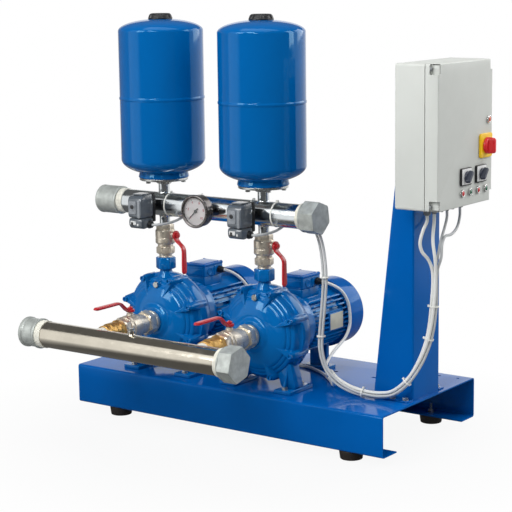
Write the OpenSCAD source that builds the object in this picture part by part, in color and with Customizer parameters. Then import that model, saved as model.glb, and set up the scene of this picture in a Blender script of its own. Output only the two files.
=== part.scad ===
// Booster pump set: two pumps on a folded base, two pressure tanks, manifolds and a control panel.
// X runs along the manifolds to the panel, Y runs from the suction side to the motors, Z is up.

/* [Base] */
// length of the folded base along X
base_l = 1190; // [1100:1:1400]
// depth of the base along Y
base_d = 556; // [550:1:700]
// height of the base channel
base_h = 128; // [100:1:180]
// sheet thickness of the base
base_t = 4; // [3:0.5:6]
// width of the return lip under the front and back walls
lip_w = 80; // [70:1:110]
// diameter of a rubber foot
foot_d = 74; // [50:1:80]
// height of a rubber foot
foot_h = 28; // [20:1:60]

/* [Pumps] */
// X of the first pump axis from the left end of the base
pump1_x = 298; // [260:1:330]
// distance between the two pump axes
pump_gap = 394; // [370:1:430]
// height of the pump axis over the base top
axis_h = 176; // [170:1:220]
// outer radius of the casing flange
casing_r = 150; // [145:1:158]
// radius of the circle of casing screws
screw_circle = 142; // [138:0.5:150]
// radius of the finned motor over its fins
fin_r = 102; // [94:1:108]

/* [Pipes] */
// outer diameter of the suction manifold
suct_d = 82; // [60:1:100]
// outer diameter of the delivery manifold
deliv_d = 76; // [60:1:86]
// distance of the suction manifold in front of the base
suct_out = 295; // [280:1:340]
// height of the delivery manifold over the pump axis
deliv_up = 373; // [352:1:420]
// length of a suction lever from its stem
lever_s = 168; // [100:1:200]
// length of a delivery lever from its stem
lever_d = 124; // [80:1:136]

/* [Tanks] */
// tank diameter
tank_d = 270; // [220:1:340]
// tank height from flange to crown
tank_h = 509; // [420:1:640]

/* [Panel] */
// width of the control panel along Y
panel_w = 325; // [300:1:380]
// height of the control panel
panel_h = 422; // [400:1:500]
// depth of the panel box behind its lid
panel_dp = 99; // [90:1:130]
// depth of the lid
lid_dp = 43; // [35:1:50]
// width of the post along Y
post_w = 160; // [140:1:180]
// height of the post over the base
post_h = 950; // [850:1:1000]

/* [Hidden] */
$fn = 48;

// colours
blue = [0.0, 0.30, 0.66];
zinc = [0.74, 0.75, 0.74];
steel = [0.80, 0.80, 0.80];
nickel = [0.74, 0.70, 0.64];
brass = [0.74, 0.57, 0.28];
red = [0.80, 0.10, 0.12];
black = [0.06, 0.06, 0.06];
pale = [0.80, 0.82, 0.80];
white = [0.88, 0.88, 0.86];
grey = [0.50, 0.52, 0.52];
slate = [0.28, 0.30, 0.35];
yellow = [0.98, 0.80, 0.0];
galv = [0.58, 0.60, 0.58];

// clearances: gap between round pieces, run for turning fits, slip for bolts in their holes
gap = 0.3;
run = 0.05;
slip = 0.5;

// levels and positions that follow from the sizes
pump_x = [pump1_x, pump1_x + pump_gap];
axis_z = base_h + axis_h;
port_y = 110;
suct_y = -suct_out;
deliv_z = axis_z + deliv_up;
suct_r = suct_d / 2;
deliv_r = deliv_d / 2;
wall = 3;
casing_y0 = 34;
casing_y1 = 130;
lantern_y1 = 240;
motor_y1 = 450;
cowl_y1 = 515;
cap_r = suct_r + 14;
panel_x0 = base_l - 16;
panel_x1 = panel_x0 + panel_dp;
door_x = panel_x1 + gap;
door_x1 = door_x + lid_dp;
panel_y0 = 255 - panel_w / 2;
panel_y1 = 255 + panel_w / 2;
panel_z0 = base_h + 600;
panel_z1 = panel_z0 + panel_h;
post_y0 = 280 - post_w / 2;
post_y1 = 280 + post_w / 2;
knob_x = door_x1 + 8;
knob_x1 = knob_x + 36;
// the model's own origin is the middle of its floor
mid_x = knob_x1 / 2;
mid_y = (base_d + suct_y - cap_r * cos(13)) / 2;
foot_at = [[150, 40], [base_l - 134, 40], [150, base_d - 40], [base_l - 134, base_d - 40]];
port_z0 = casing_r + 12;
port_z1 = port_z0 + 38;
union_z = axis_z + port_z1;
valve_z = union_z + 44;
stub_z = valve_z + 64;
ball_dz = valve_z + 30;
flange_z0 = deliv_z + 80;
flange_z1 = flange_z0 + 8;
ball_sy = -74;
dish = 53;
cap_tank_r = 39;
crown_q = acos((cap_tank_r + 3) / (tank_d / 2));
crown_z = tank_h - dish * (1 - sin(crown_q));
ear_a = [for (i = [0:7]) 22.5 + i * 45];
switch_dx = -22;
gauge_x = pump1_x + 189;
suct_x0 = pump1_x - 203;
suct_x1 = pump_x[1] + 182;
deliv_x0 = pump1_x - 205;
deliv_x1 = pump_x[1] + 192;
boss_x = pump1_x + 192;
tap_x = [pump_x[0] + switch_dx, pump_x[1] + switch_dx, gauge_x];
hinge_y = panel_y1 + 7;
hinge_z = [panel_z0 + 80, panel_z0 + panel_h - 124];
main_y = panel_y1 - 46;
main_z = panel_z0 + 168;
sel_y = [panel_y1 - 165, panel_y1 - 74];
sel_z = panel_z0 + 87;
lamp_at = [[panel_y1 - 184, panel_z0 + 39], [panel_y1 - 137, panel_z0 + 39],
    [panel_y1 - 90, panel_z0 + 39], [panel_y1 - 43, panel_z0 + 39], [panel_y1 - 25, panel_z0 + 244]];
gland_x = panel_x0 + 62;
gland_y = [for (y = [245, 203, 161, 127, 95, 48]) panel_y1 - y];
gland_r = [13, 11, 9, 9, 9, 13];

// cable routes: hand-chosen points measured from the left front corner of the base, all in mm
low_z = base_h + 8;
top_z = panel_z0 - 22;
drop = [[846, 172, deliv_z - 50], [862, 170, deliv_z - 80], [876, 165, deliv_z - 125],
    [888, 156, deliv_z - 190],
    [890, 145, deliv_z - 275], [886, 137, deliv_z - 370], [888, 135, low_z + 128], [902, 138, low_z + 78]];
bundle = [[934, 142, low_z + 38], [978, 147, low_z + 17], [1028, 150, low_z + 8], [1082, 151, low_z + 9],
    [1132, 154, low_z + 22], [1176, 163, low_z + 60], [1210, 177, low_z + 118], [1236, 188, low_z + 195],
    [1249, 193, low_z + 295], [1250, 196, low_z + 400]];
start_m1 = [[pump_x[0] + 54, 341, axis_z + 126], [pump_x[0] + 68, 341, axis_z + 126],
    [pump_x[0] + 92, 370, axis_z + 106], [pump_x[0] + 116, 396, axis_z + 66],
    [pump_x[0] + 136, 410, axis_z], [pump_x[0] + 150, 410, axis_z - 80],
    [pump_x[0] + 172, 406, axis_z - 140], [pump_x[0] + 216, 400, base_h + 10],
    [pump_x[0] + 290, 388, base_h + 6], [pump_x[0] + 380, 366, base_h + 6],
    [pump_x[0] + 470, 318, base_h + 6], [pump_x[0] + 540, 256, base_h + 6], [888, 200, base_h + 10]];
end_m1 = [[1238, 178, low_z + 436], [1228, 158, low_z + 462], [1226, 150, low_z + 488],
    [1230, 158, low_z + 522], [gland_x, gland_y[0], low_z + 552], [gland_x, gland_y[0], top_z]];
start_m2 = [[pump_x[1] + 54, 341, axis_z + 126], [pump_x[1] + 68, 341, axis_z + 126],
    [pump_x[1] + 100, 384, axis_z + 98], [pump_x[1] + 112, 412, axis_z + 56],
    [pump_x[1] + 114, 423, axis_z + 10], [pump_x[1] + 114, 420, axis_z - 30],
    [pump_x[1] + 113, 395, axis_z - 62], [pump_x[1] + 114, 330, axis_z - 92],
    [pump_x[1] + 128, 262, axis_z - 122], [pump_x[1] + 170, 206, axis_z - 140], [900, 168, low_z + 56]];
end_m2 = [[1257, 184, low_z + 440], [1247, 188, low_z + 492], [gland_x, gland_y[1], low_z + 545],
    [gland_x, gland_y[1], top_z]];
start_s1 = [[pump_x[0] + 8, 28, deliv_z - 56], [pump_x[0] + 24, 30, deliv_z - 56],
    [pump_x[0] + 40, 48, deliv_z - 55], [pump_x[0] + 52, 100, deliv_z - 50],
    [pump_x[0] + 62, 140, deliv_z - 36], [pump_x[0] + 84, 156, deliv_z - 12],
    [pump_x[0] + 270, 154, deliv_z - 6], [pump_x[0] + 440, 156, deliv_z - 4],
    [800, 164, deliv_z - 10], [830, 172, deliv_z - 24]];
end_s1 = [[1264, 212, low_z + 440], [1264, 234, low_z + 478], [1258, 262, low_z + 494],
    [1250, 300, low_z + 500], [1242, 345, low_z + 514], [gland_x, gland_y[5], low_z + 542],
    [gland_x, gland_y[5], top_z]];
start_s2 = [[pump_x[1] + 8, 28, deliv_z - 56], [pump_x[1] + 24, 30, deliv_z - 56],
    [pump_x[1] + 40, 48, deliv_z - 55], [pump_x[1] + 52, 100, deliv_z - 50],
    [pump_x[1] + 62, 140, deliv_z - 36], [pump_x[1] + 84, 156, deliv_z - 26],
    [800, 163, deliv_z - 28], [824, 170, deliv_z - 38]];
end_s2 = [[1250, 212, low_z + 440], [1250, 232, low_z + 490], [1244, 262, low_z + 520],
    [gland_x, gland_y[3], low_z + 548], [gland_x, gland_y[3], top_z]];
bundle_r = [7.6, 7.6];
drop_r = [5.6, 6.8];

// helpers
module put() translate([-mid_x, -mid_y, foot_h]) children();
module at_pump(i) put() translate([pump_x[i], 0, axis_z]) children();
module ycyl(r, y0, y1) translate([0, y0, 0]) rotate([-90, 0, 0]) cylinder(h = y1 - y0, r = r);
module xcyl(r, x0, x1) translate([x0, 0, 0]) rotate([0, 90, 0]) cylinder(h = x1 - x0, r = r);
module zcyl(r, z0, z1) translate([0, 0, z0]) cylinder(h = z1 - z0, r = r);
module yhex(r, y0, y1, a = 0) translate([0, y0, 0]) rotate([-90, a, 0])
    cylinder(h = y1 - y0, r = r, $fn = 6);
module xhex(r, x0, x1, a = 0) translate([x0, 0, 0]) rotate([0, 90, 0]) rotate(a)
    cylinder(h = x1 - x0, r = r, $fn = 6);
module zhex(r, z0, z1, a = 0) translate([0, 0, z0]) rotate(a) cylinder(h = z1 - z0, r = r, $fn = 6);
module yturn(p) rotate([-90, 0, 0]) rotate_extrude() polygon(p);
module box(a, b) translate(a) cube(b - a);
module side(w, p) translate([-w / 2, 0, 0]) rotate([90, 0, 90]) linear_extrude(w) polygon(p);
function arc(x, y, r, a0, a1, n) = [for (i = [0:n]) let (q = a0 + (a1 - a0) * i / n)
    [x + r * cos(q), y + r * sin(q)]];
function round_rect(x0, y0, x1, y1, r, n = 4) = concat(arc(x1 - r, y0 + r, r, -90, 0, n),
    arc(x1 - r, y1 - r, r, 0, 90, n), arc(x0 + r, y1 - r, r, 90, 180, n),
    arc(x0 + r, y0 + r, r, 180, 270, n));
module xplate(a, b, r) translate([a[0], 0, 0]) rotate([90, 0, 90]) linear_extrude(b[0] - a[0])
    polygon(round_rect(a[1], a[2], b[1], b[2], r));
module yplate(a, b, r) translate([0, b[1], 0]) rotate([90, 0, 0]) linear_extrude(b[1] - a[1])
    polygon(round_rect(a[0], a[2], b[0], b[2], r));
module zplate(a, b, r) translate([0, 0, a[2]]) linear_extrude(b[2] - a[2])
    polygon(round_rect(a[0], a[1], b[0], b[1], r));
function unit(v) = v / norm(v);
function tang(p, i) = unit(p[min(i + 1, len(p) - 1)] - p[max(i - 1, 0)]);
function side_of(p, i) = i == 0 ? unit(cross(tang(p, 0), [0.3, 0.5, 0.81]))
    : let (u = side_of(p, i - 1), t = tang(p, i)) unit(u - (u * t) * t);
function ring(p, i, r, n) = let (u = side_of(p, i), w = cross(tang(p, i), u))
    [for (k = [0:n - 1]) p[i] + r * cos(360 * k / n) * u + r * sin(360 * k / n) * w];
function beside(p, r, a, turn) = [for (i = [0:len(p) - 1])
    let (t = tang(p, i), n = unit(cross(t, [0, 1, 0])), w = cross(n, t), f = i / (len(p) - 1),
        q = a + turn * f, d = r[0] + (r[1] - r[0]) * f) p[i] + d * cos(q) * w + d * sin(q) * n];
route_m1 = concat(start_m1, beside(bundle, bundle_r, 315, 180), end_m1);
route_m2 = concat(start_m2, beside(bundle, bundle_r, 45, 180), end_m2);
route_s1 = concat(start_s1, beside(drop, drop_r, 90, 45), beside(bundle, bundle_r, 135, 180), end_s1);
route_s2 = concat(start_s2, beside(drop, drop_r, 270, -45), beside(bundle, bundle_r, 225, 180), end_s2);
module cord(p, r, n = 8) {
    m = len(p);
    pts = [for (i = [0:m - 1]) each ring(p, i, r, n)];
    walls = [for (i = [0:m - 2]) for (k = [0:n - 1])
        [i * n + k, (i + 1) * n + k, (i + 1) * n + (k + 1) % n, i * n + (k + 1) % n]];
    first = [for (k = [0:n - 1]) k];
    last = [for (k = [0:n - 1]) (m - 1) * n + n - 1 - k];
    polyhedron(points = pts, faces = concat([first], walls, [last]));
}

// base
module base_frame() {
    o = 2 * base_t;
    p = concat([[lip_w, 0]], arc(o, o, o, 270, 180, 4), arc(o, base_h - o, o, 180, 90, 4),
        arc(base_d - o, base_h - o, o, 90, 0, 4), arc(base_d - o, o, o, 0, -90, 4),
        [[base_d - lip_w, 0], [base_d - lip_w, base_t]], arc(base_d - o, o, base_t, -90, 0, 4),
        arc(base_d - o, base_h - o, base_t, 0, 90, 4), arc(o, base_h - o, base_t, 90, 180, 4),
        arc(o, o, base_t, 180, 270, 4), [[lip_w, base_t]]);
    color(blue) put() difference() {
        rotate([90, 0, 90]) linear_extrude(base_l) polygon(p);
        for (f = foot_at) translate([f[0], f[1], 0]) zcyl(5 + slip, -1, base_t + 1);
        for (b = bolt_at) translate([b[0], b[1], 0]) zcyl(5 + slip, base_h - base_t - 1, base_h + 1);
        for (x = [pump_x[0] + 66, pump_x[1] + 66, pump_x[1] + 250]) translate([x, 382, 0]) slot_cut();
        for (x = [base_l - 105, base_l - 38]) translate([x, base_d - 38, 0])
            zcyl(5, base_h - base_t - 1, base_h + 1);
    }
}
module slot_cut() {
    box([-22, -6, base_h - base_t - 1], [22, 6, base_h + 1]);
    translate([-22, 0, 0]) zcyl(6, base_h - base_t - 1, base_h + 1);
    translate([22, 0, 0]) zcyl(6, base_h - base_t - 1, base_h + 1);
}
module rubber_feet() {
    color(black) put() for (f = foot_at) translate([f[0], f[1], -foot_h]) difference() {
        cylinder(h = foot_h, r1 = foot_d / 2 - 3, r2 = foot_d / 2);
        zcyl(5 + gap, foot_h - 16, foot_h + 1);
    }
}
module foot_studs() {
    color(zinc) put() for (f = foot_at) translate([f[0], f[1], 0]) {
        zcyl(5, -15, 34);
        zhex(9.8, base_t, base_t + 9);
    }
}
foot_pad = 12;
pump_bolt = [for (x = pump_x) for (s = [-106, 106]) for (y = [64, 152]) [x + s, y, foot_pad]];
post_bolt = [for (x = [panel_x0 - 62, panel_x0 - 18]) for (y = [post_y0 - 14, post_y1 + 14]) [x, y, 4]];
bolt_at = concat(pump_bolt, post_bolt);
module base_bolts() {
    color(zinc) put() {
        for (b = bolt_at) translate([b[0], b[1], base_h]) {
            zhex(9.8, b[2], b[2] + 8);
            zcyl(5, -base_t - 14, b[2] + 1);
            zhex(9.8, -base_t - 10, -base_t);
        }
        for (x = pump_x) for (i = [0:5]) translate([x, port_y, 0]) rotate(i * 60 + 20) translate([66, 0, 0])
            zhex(7.5, flange_z0 - 7, flange_z0);
    }
}
module panel_post() {
    w0 = 138;
    w1 = 30;
    color(blue) put() difference() {
        union() {
            box([panel_x0 - 4, post_y0, base_h], [panel_x0, post_y1, base_h + post_h]);
            for (y = [post_y0, post_y1 - 4]) translate([0, y + 4, 0]) rotate([90, 0, 0]) linear_extrude(4)
                polygon([[panel_x0, base_h], [panel_x0 - w0, base_h], [panel_x0 - w1, base_h + post_h],
                    [panel_x0, base_h + post_h]]);
            box([panel_x0 - 90, post_y0 - 28, base_h], [panel_x0, post_y0 + 1, base_h + 4]);
            box([panel_x0 - 90, post_y1 - 1, base_h], [panel_x0, post_y1 + 28, base_h + 4]);
        }
        for (b = post_bolt) translate([b[0], b[1], 0]) zcyl(5 + slip, base_h - 1, base_h + 6);
    }
}

// pumps
module ear(y0, y1, a) {
    rotate([0, -a, 0]) {
        translate([0, y1, 0]) rotate([90, 0, 0]) linear_extrude(y1 - y0)
            polygon([[90, -2.5], [screw_circle - 14, -13], [screw_circle, -13.4], [screw_circle, 13.4],
                [screw_circle - 14, 13], [90, 2.5]]);
        translate([screw_circle, 0, 0]) ycyl(15, y0, y1);
    }
}
module ear_hole(r, y0, y1, a) rotate([0, -a, 0]) translate([screw_circle, 0, 0]) ycyl(r, y0, y1);
// the front is a shallow dome that goes down to the flange in five terraces
dome_r = 78;
dome_y = 121.5;
dome_q = acos((casing_r - 93) / dome_r);
terrace = [[-46, 0], [-45, 2], [-37, 3], [-36, 7], [-28, 8], [-27, 13], [-19, 14.5], [-18, 21.5],
    [-11, 23.5], [-10, 31.5], [0, 33.5]];
module pump_casing() {
    c = casing_r;
    color(blue) difference() {
        union() {
            yturn(concat([[0, casing_y0], [45, casing_y0], [46, 43.5]],
                arc(46, dome_y, dome_r, -87, -dome_q, 8),
                [for (t = terrace) [c + t[0], dome_y - dome_r * sin(dome_q) + t[1]]],
                [[c, casing_y1 + 2], [0, casing_y1 + 2]]));
            for (a = ear_a) ear(59, casing_y1 + 2, a);
            translate([0, port_y, 0]) zcyl(19, 100, port_z0 + 1);
            translate([0, port_y, 0]) zhex(33, port_z0, port_z1, 30);
            translate([0, 0, 116]) ycyl(12, 60, 95);
            for (s = [0, 1]) mirror([s, 0, 0]) {
                translate([0, 128, 0]) rotate([90, 0, 0]) linear_extrude(44)
                    polygon([[60, -120], [118, -82], [134, -axis_h + foot_pad / 2],
                        [78, -axis_h + foot_pad / 2]]);
                zplate([74, 46, -axis_h], [138, 172, -axis_h + foot_pad], 8);
            }
        }
        box([-c - 20, casing_y1, -axis_h + foot_pad + 1], [c + 20, casing_y1 + 5, c + 10]);
        ycyl(25, casing_y0 - 1, casing_y1 + 3);
        ycyl(118, 98, casing_y1 + 3);
        translate([0, port_y, 0]) zcyl(15, 90, port_z1 + 1);
        for (a = ear_a) ear_hole(5 + gap, 50, casing_y1 + 3, a);
        translate([0, 0, 116]) ycyl(6 + gap, 59, 82);
        for (s = [-106, 106]) for (y = [64, 152]) translate([s, y, 0])
            zcyl(5 + slip, -axis_h - 1, -axis_h + foot_pad + 1);
    }
}
module pump_casing_1() at_pump(0) pump_casing();
module pump_casing_2() at_pump(1) pump_casing();
module pump_lanterns() {
    color(blue) for (i = [0, 1]) at_pump(i) difference() {
        union() {
            yturn([[0, casing_y1], [casing_r, casing_y1], [casing_r, 150], [128, 153], [124, 182], [112, 188],
                [98, 214], [96, lantern_y1], [0, lantern_y1]]);
            for (a = ear_a) ear(casing_y1, 150, a);
        }
        ycyl(12 + run, casing_y1 - 1, 160);
        ycyl(74, 156, lantern_y1 + 1);
        for (a = ear_a) ear_hole(5 + gap, casing_y1 - 1, 144, a);
    }
}
module casing_screws() {
    color(blue) for (i = [0, 1]) at_pump(i) for (a = ear_a) rotate([0, -a, 0])
        translate([screw_circle, 0, 0]) difference() {
        union() {
            ycyl(8.5, 50, 59);
            ycyl(5, 58, 143);
        }
        yhex(4.6, 49, 55);
    }
}
module vent_plugs() {
    color(zinc) {
        for (i = [0, 1]) at_pump(i) translate([0, 0, 116]) {
            yhex(10.5, 52, 60);
            ycyl(6, 59, 80);
        }
        put() translate([boss_x, suct_y, axis_z]) {
            zhex(9, suct_r + 14, suct_r + 20);
            zcyl(11, suct_r + 10, suct_r + 14);
        }
    }
}
module fin_ring() {
    for (a = [0:9:351]) if (a < 50 || a > 130) rotate([0, -a, 0]) box([80, 254, -2.4], [fin_r, 440, 2.4]);
}
module motor_bodies() {
    color(blue) for (i = [0, 1]) at_pump(i) difference() {
        union() {
            yturn([[0, lantern_y1], [96, lantern_y1], [96, 252], [87, 256], [87, 438], [109, 438],
                [109, motor_y1], [0, motor_y1]]);
            fin_ring();
            box([-37, 262, 60], [37, 360, 110]);
            box([80, 322, -30], [fin_r, 402, 28]);
            box([-26, 396, -axis_h], [40, 412, -80]);
            box([-40, 378, -axis_h], [54, 430, -axis_h + 10]);
        }
        ycyl(12 + run, lantern_y1 - 1, motor_y1 + 1);
        ycyl(47, 262, 430);
    }
}
module terminal_boxes() {
    color(blue) for (i = [0, 1]) at_pump(i) difference() {
        zplate([-40, 260, 110], [40, 363, 144], 6);
        zplate([-36, 264, 114], [36, 359, 145], 2);
        translate([0, 341, 126]) xcyl(8, 30, 50);
    }
}
module terminal_lids() {
    color(blue) for (i = [0, 1]) at_pump(i) {
        zplate([-41, 259, 144], [41, 364, 152], 7);
        zplate([-32, 268, 151], [32, 355, 154], 8);
    }
}
module motor_glands() {
    color(black) for (i = [0, 1]) at_pump(i) translate([0, 341, 126]) difference() {
        union() {
            xhex(13, 40, 50);
            xcyl(9.5, 49, 62);
            xcyl(8 - gap, 36, 41);
        }
        xcyl(5.8, 35, 63);
    }
}
module fan_cowls() {
    color(blue) for (i = [0, 1]) at_pump(i) difference() {
        yturn(concat([[110 - gap / 2, 436], [112, 436]], arc(98, cowl_y1 - 14, 14, 0, 90, 6),
            [[0, cowl_y1], [0, cowl_y1 - 3]], arc(96, cowl_y1 - 13, 10, 90, 0, 6),
            [[106, motor_y1], [110 - gap / 2, motor_y1]]));
        for (r = [40, 58, 76]) for (a = [0:30:330]) rotate([0, -a, 0]) translate([r, 0, 0])
            ycyl(6, cowl_y1 - 5, cowl_y1 + 1);
    }
}
module rating_plates() {
    color(pale) for (i = [0, 1]) at_pump(i) box([fin_r, 326, -27], [fin_r + 1, 399, 25]);
}

// manifolds
module suction_manifold() {
    color(steel) put() translate([0, suct_y, axis_z]) difference() {
        union() {
            xcyl(suct_r, suct_x0, suct_x1);
            for (x = pump_x) translate([x, 0, 0]) ycyl(23, 0, suct_r + 14);
            translate([boss_x, 0, 0]) zcyl(9, 0, suct_r + 10);
        }
        xcyl(suct_r - wall, suct_x0 - 1, suct_x1 + 1);
        for (x = pump_x) translate([x, 0, 0]) ycyl(20, 0, suct_r + 15);
    }
}
module delivery_manifold() {
    color(steel) put() translate([0, port_y, deliv_z]) difference() {
        union() {
            xcyl(deliv_r, deliv_x0, deliv_x1);
            for (x = pump_x) translate([x, 0, 0]) {
                zcyl(18, 0, flange_z0 - deliv_z);
                zcyl(17, stub_z - deliv_z, 0);
            }
            for (x = tap_x) translate([x, 0, 0]) ycyl(10, -deliv_r - 6, 0);
        }
        xcyl(deliv_r - wall, deliv_x0 - 1, deliv_x1 + 1);
        for (x = pump_x) translate([x, 0, 0]) zcyl(14, stub_z - deliv_z - 1, flange_z0 - deliv_z + 1);
        for (x = tap_x) translate([x, 0, 0]) ycyl(4, -deliv_r - 7, 0);
    }
}
module suction_coupling() {
    r = suct_r;
    color(galv) put() translate([suct_x0, suct_y, axis_z]) rotate([0, 90, 0]) rotate_extrude()
        polygon([[r - 1, -33], [r + 5, -33], [r + 6.5, -31], [r + 6.5, -23], [r + 3.5, -19], [r + 3.5, 19],
            [r + 6.5, 23], [r + 6.5, 29], [r + 5, 31], [r + gap, 31], [r + gap, 0],
            [r - 5, 0], [r - 5, -5], [r - 1, -5]]);
}
module delivery_coupling() {
    r = deliv_r;
    color(galv) put() translate([deliv_x0, port_y, deliv_z]) rotate([0, 90, 0]) rotate_extrude()
        polygon([[r - 1, -54], [r + 6.5, -54], [r + 8, -52], [r + 8, -46], [r + 7, -44], [r + 7, 20],
            [r + 8, 22], [r + 8, 28], [r + 6.5, 30], [r + gap, 30], [r + gap, 0],
            [r - 5, 0], [r - 5, -5], [r - 1, -5]]);
}
module manifold_caps() {
    color(galv) put() {
        translate([suct_x1, suct_y, axis_z]) difference() {
            union() {
                xhex(cap_r, -28, 18, 103);
                xcyl(suct_r + 9, -32, -27);
            }
            xcyl(suct_r + gap, -33, 0);
        }
        translate([deliv_x1, port_y, deliv_z]) difference() {
            union() {
                xhex(deliv_r + 14, -32, 20, 130);
                xcyl(deliv_r + 8.5, -36, -31);
            }
            xcyl(deliv_r + gap, -37, 0);
        }
    }
}
module thread_sleeves() {
    color(white) put() {
        for (e = [[suct_x0 + 31, suct_x0 + 53], [suct_x1 - 48, suct_x1 - 32]])
            translate([0, suct_y, axis_z]) difference() {
            xcyl(suct_r + 2, e[0], e[1]);
            xcyl(suct_r + 0.02, e[0] - 1, e[1] + 1);
        }
        for (e = [[deliv_x0 + 30, deliv_x0 + 53], [deliv_x1 - 50, deliv_x1 - 36]])
            translate([0, port_y, deliv_z]) difference() {
            xcyl(deliv_r + 2, e[0], e[1]);
            xcyl(deliv_r + 0.02, e[0] - 1, e[1] + 1);
        }
        for (x = pump_x) translate([x, 0, axis_z]) difference() {
            ycyl(24, suct_y + suct_r + 14, -206);
            ycyl(20, suct_y + suct_r + 13, -205);
        }
    }
}

// valves
module suction_valves() {
    color(nickel) for (i = [0, 1]) at_pump(i) difference() {
        union() {
            yturn([[0, -36], [34, -36], [36, -40], [36, -54], [40, -57], [40, -92], [37, -95], [37, -104],
                [0, -104]]);
            yhex(39, -128, -103, 15);
            translate([0, ball_sy, 0]) zcyl(12, 30, 46);
        }
        ycyl(22, -129, -35);
        translate([0, ball_sy, 0]) sphere(r = 29 + gap);
        translate([0, ball_sy, 0]) zcyl(5 + run, 20, 47);
    }
}
module delivery_valves() {
    color(nickel) for (i = [0, 1]) put() translate([pump_x[i], port_y, 0]) difference() {
        union() {
            translate([0, 0, valve_z]) rotate_extrude()
                polygon([[0, 0], [29, 0], [32, 4], [32, 44], [28, 48], [0, 48]]);
            zhex(29, valve_z + 45, stub_z, 10);
            translate([0, 0, ball_dz]) xcyl(10, 26, 37);
        }
        zcyl(15, valve_z - 1, stub_z + 1);
        translate([0, 0, ball_dz]) sphere(r = 22 + gap);
        translate([0, 0, ball_dz]) xcyl(5 + run, 16, 38);
    }
}
module valve_unions() {
    color(nickel) for (i = [0, 1]) at_pump(i) {
        difference() {
            union() {
                yturn([[0, casing_y0], [33, casing_y0], [37, 28], [37, 18], [34, 16], [0, 16]]);
                yhex(41, -14, 17, 10);
                ycyl(32, -36, -13);
            }
            ycyl(22, -37, casing_y0 + 1);
        }
        translate([0, port_y, port_z1]) difference() {
            union() {
                zcyl(21, 0, 12);
                zhex(30, 11, 35, 12);
                zcyl(25, 34, 44);
            }
            zcyl(15, -1, 45);
        }
    }
}
module check_valves() {
    color(brass) for (i = [0, 1]) at_pump(i) difference() {
        union() {
            yhex(35, -150, -128, 15);
            yturn([[0, -149], [31, -149], [31, -184], [27, -188], [27, -206], [0, -206]]);
        }
        ycyl(20, -207, -127);
        ycyl(25 + run, -178, -140);
    }
}
module check_disc() {
    color(steel) difference() {
        ycyl(25, -178, -172);
        ycyl(14, -175, -171);
    }
}
module check_disc_1() at_pump(0) check_disc();
module check_disc_2() at_pump(1) check_disc();
module lever(h, rise, bend, l, w, t) {
    color(red) {
        zcyl(w * 0.68, h, h + 8);
        zhex(w / 2, h + 7, h + 15);
        intersection() {
            side(w, [[8, h], [-16, h], [-bend, h + rise], [-l, h + rise], [-l, h + rise + t],
                [-bend - 4, h + rise + t], [-19, h + t], [8, h + t]]);
            translate([0, 0, h - 1]) linear_extrude(rise + t + 2) polygon(concat(
                arc(0, -l + w / 2, w / 2, 180, 360, 8), [[w * 0.42, -l * 0.55], [w * 0.38, -bend - 6],
                [w * 0.49, -12], [w * 0.49, 9], [-w * 0.49, 9], [-w * 0.49, -12], [-w * 0.38, -bend - 6],
                [-w * 0.42, -l * 0.55]]));
        }
    }
}
module stem(br, bore, h) {
    color(steel) difference() {
        union() {
            sphere(r = br);
            zcyl(5, br - 6, h);
        }
        ycyl(bore, -br - 1, br + 1);
    }
}
module suction_lever_1() at_pump(0) translate([0, ball_sy, 0]) lever(50, 32, 50, lever_s, 21, 9);
module suction_lever_2() at_pump(1) translate([0, ball_sy, 0]) lever(50, 32, 50, lever_s, 21, 9);
module suction_ball_1() at_pump(0) translate([0, ball_sy, 0]) stem(29, 22, 50);
module suction_ball_2() at_pump(1) translate([0, ball_sy, 0]) stem(29, 22, 50);
module at_ball(i) put() translate([pump_x[i], port_y, ball_dz]) rotate([90, 0, 90]) children();
module delivery_lever_1() at_ball(0) lever(40, 32, 40, lever_d, 22, 8);
module delivery_lever_2() at_ball(1) lever(40, 32, 40, lever_d, 22, 8);
module delivery_ball_1() at_ball(0) stem(22, 15, 40);
module delivery_ball_2() at_ball(1) stem(22, 15, 40);

// tanks
// each end is half an ellipse in profile, and the crown is flat where the cap stands on it
function dome(a, b, z, q0, q1, n) = [for (i = [0:n]) let (q = q0 + (q1 - q0) * i / n)
    [a * cos(q), z + b * sin(q)]];
module tank_shells() {
    r = tank_d / 2;
    w = 3;
    outer = concat([[62, 0], [79, 0], [81, 3], [78, 16]], dome(r, dish, 61, -acos(78 / r), 0, 7),
        [[r, tank_h / 2 - 2], [r + 1.6, tank_h / 2 + 1], [r + 1.6, tank_h / 2 + 8], [r, tank_h / 2 + 11]],
        dome(r, dish, tank_h - dish, 0, crown_q, 10), [[0, crown_z]]);
    inner = concat([[0, crown_z - w]], dome(r - w, dish - w, tank_h - dish, crown_q, 0, 10),
        dome(r - w, dish - w, 61, 0, -acos(75 / (r - w)), 7), [[75, 6], [62, 6]]);
    color(blue) for (x = pump_x) put() translate([x, port_y, flange_z1]) rotate_extrude()
        polygon(concat(outer, inner));
}
module tank_flanges() {
    color(galv) for (x = pump_x) put() translate([x, port_y, flange_z0]) difference() {
        union() {
            zcyl(78, 0, 8);
            zhex(26, -12, 1);
        }
        zcyl(18 + gap, -13, 0);
        zcyl(14, -1, 9);
    }
}
module tank_caps() {
    color(black) for (x = pump_x) put() translate([x, port_y, flange_z1 + crown_z + gap]) difference() {
        rotate_extrude()
            polygon([[0, 0], [cap_tank_r, 0], [cap_tank_r, 5], [38, 7], [38, 12], [30, 15], [0, 15]]);
        for (a = [0:20:340]) rotate(a) translate([39.5, 0, 0]) zcyl(2.8, 3, 15);
    }
}

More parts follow.
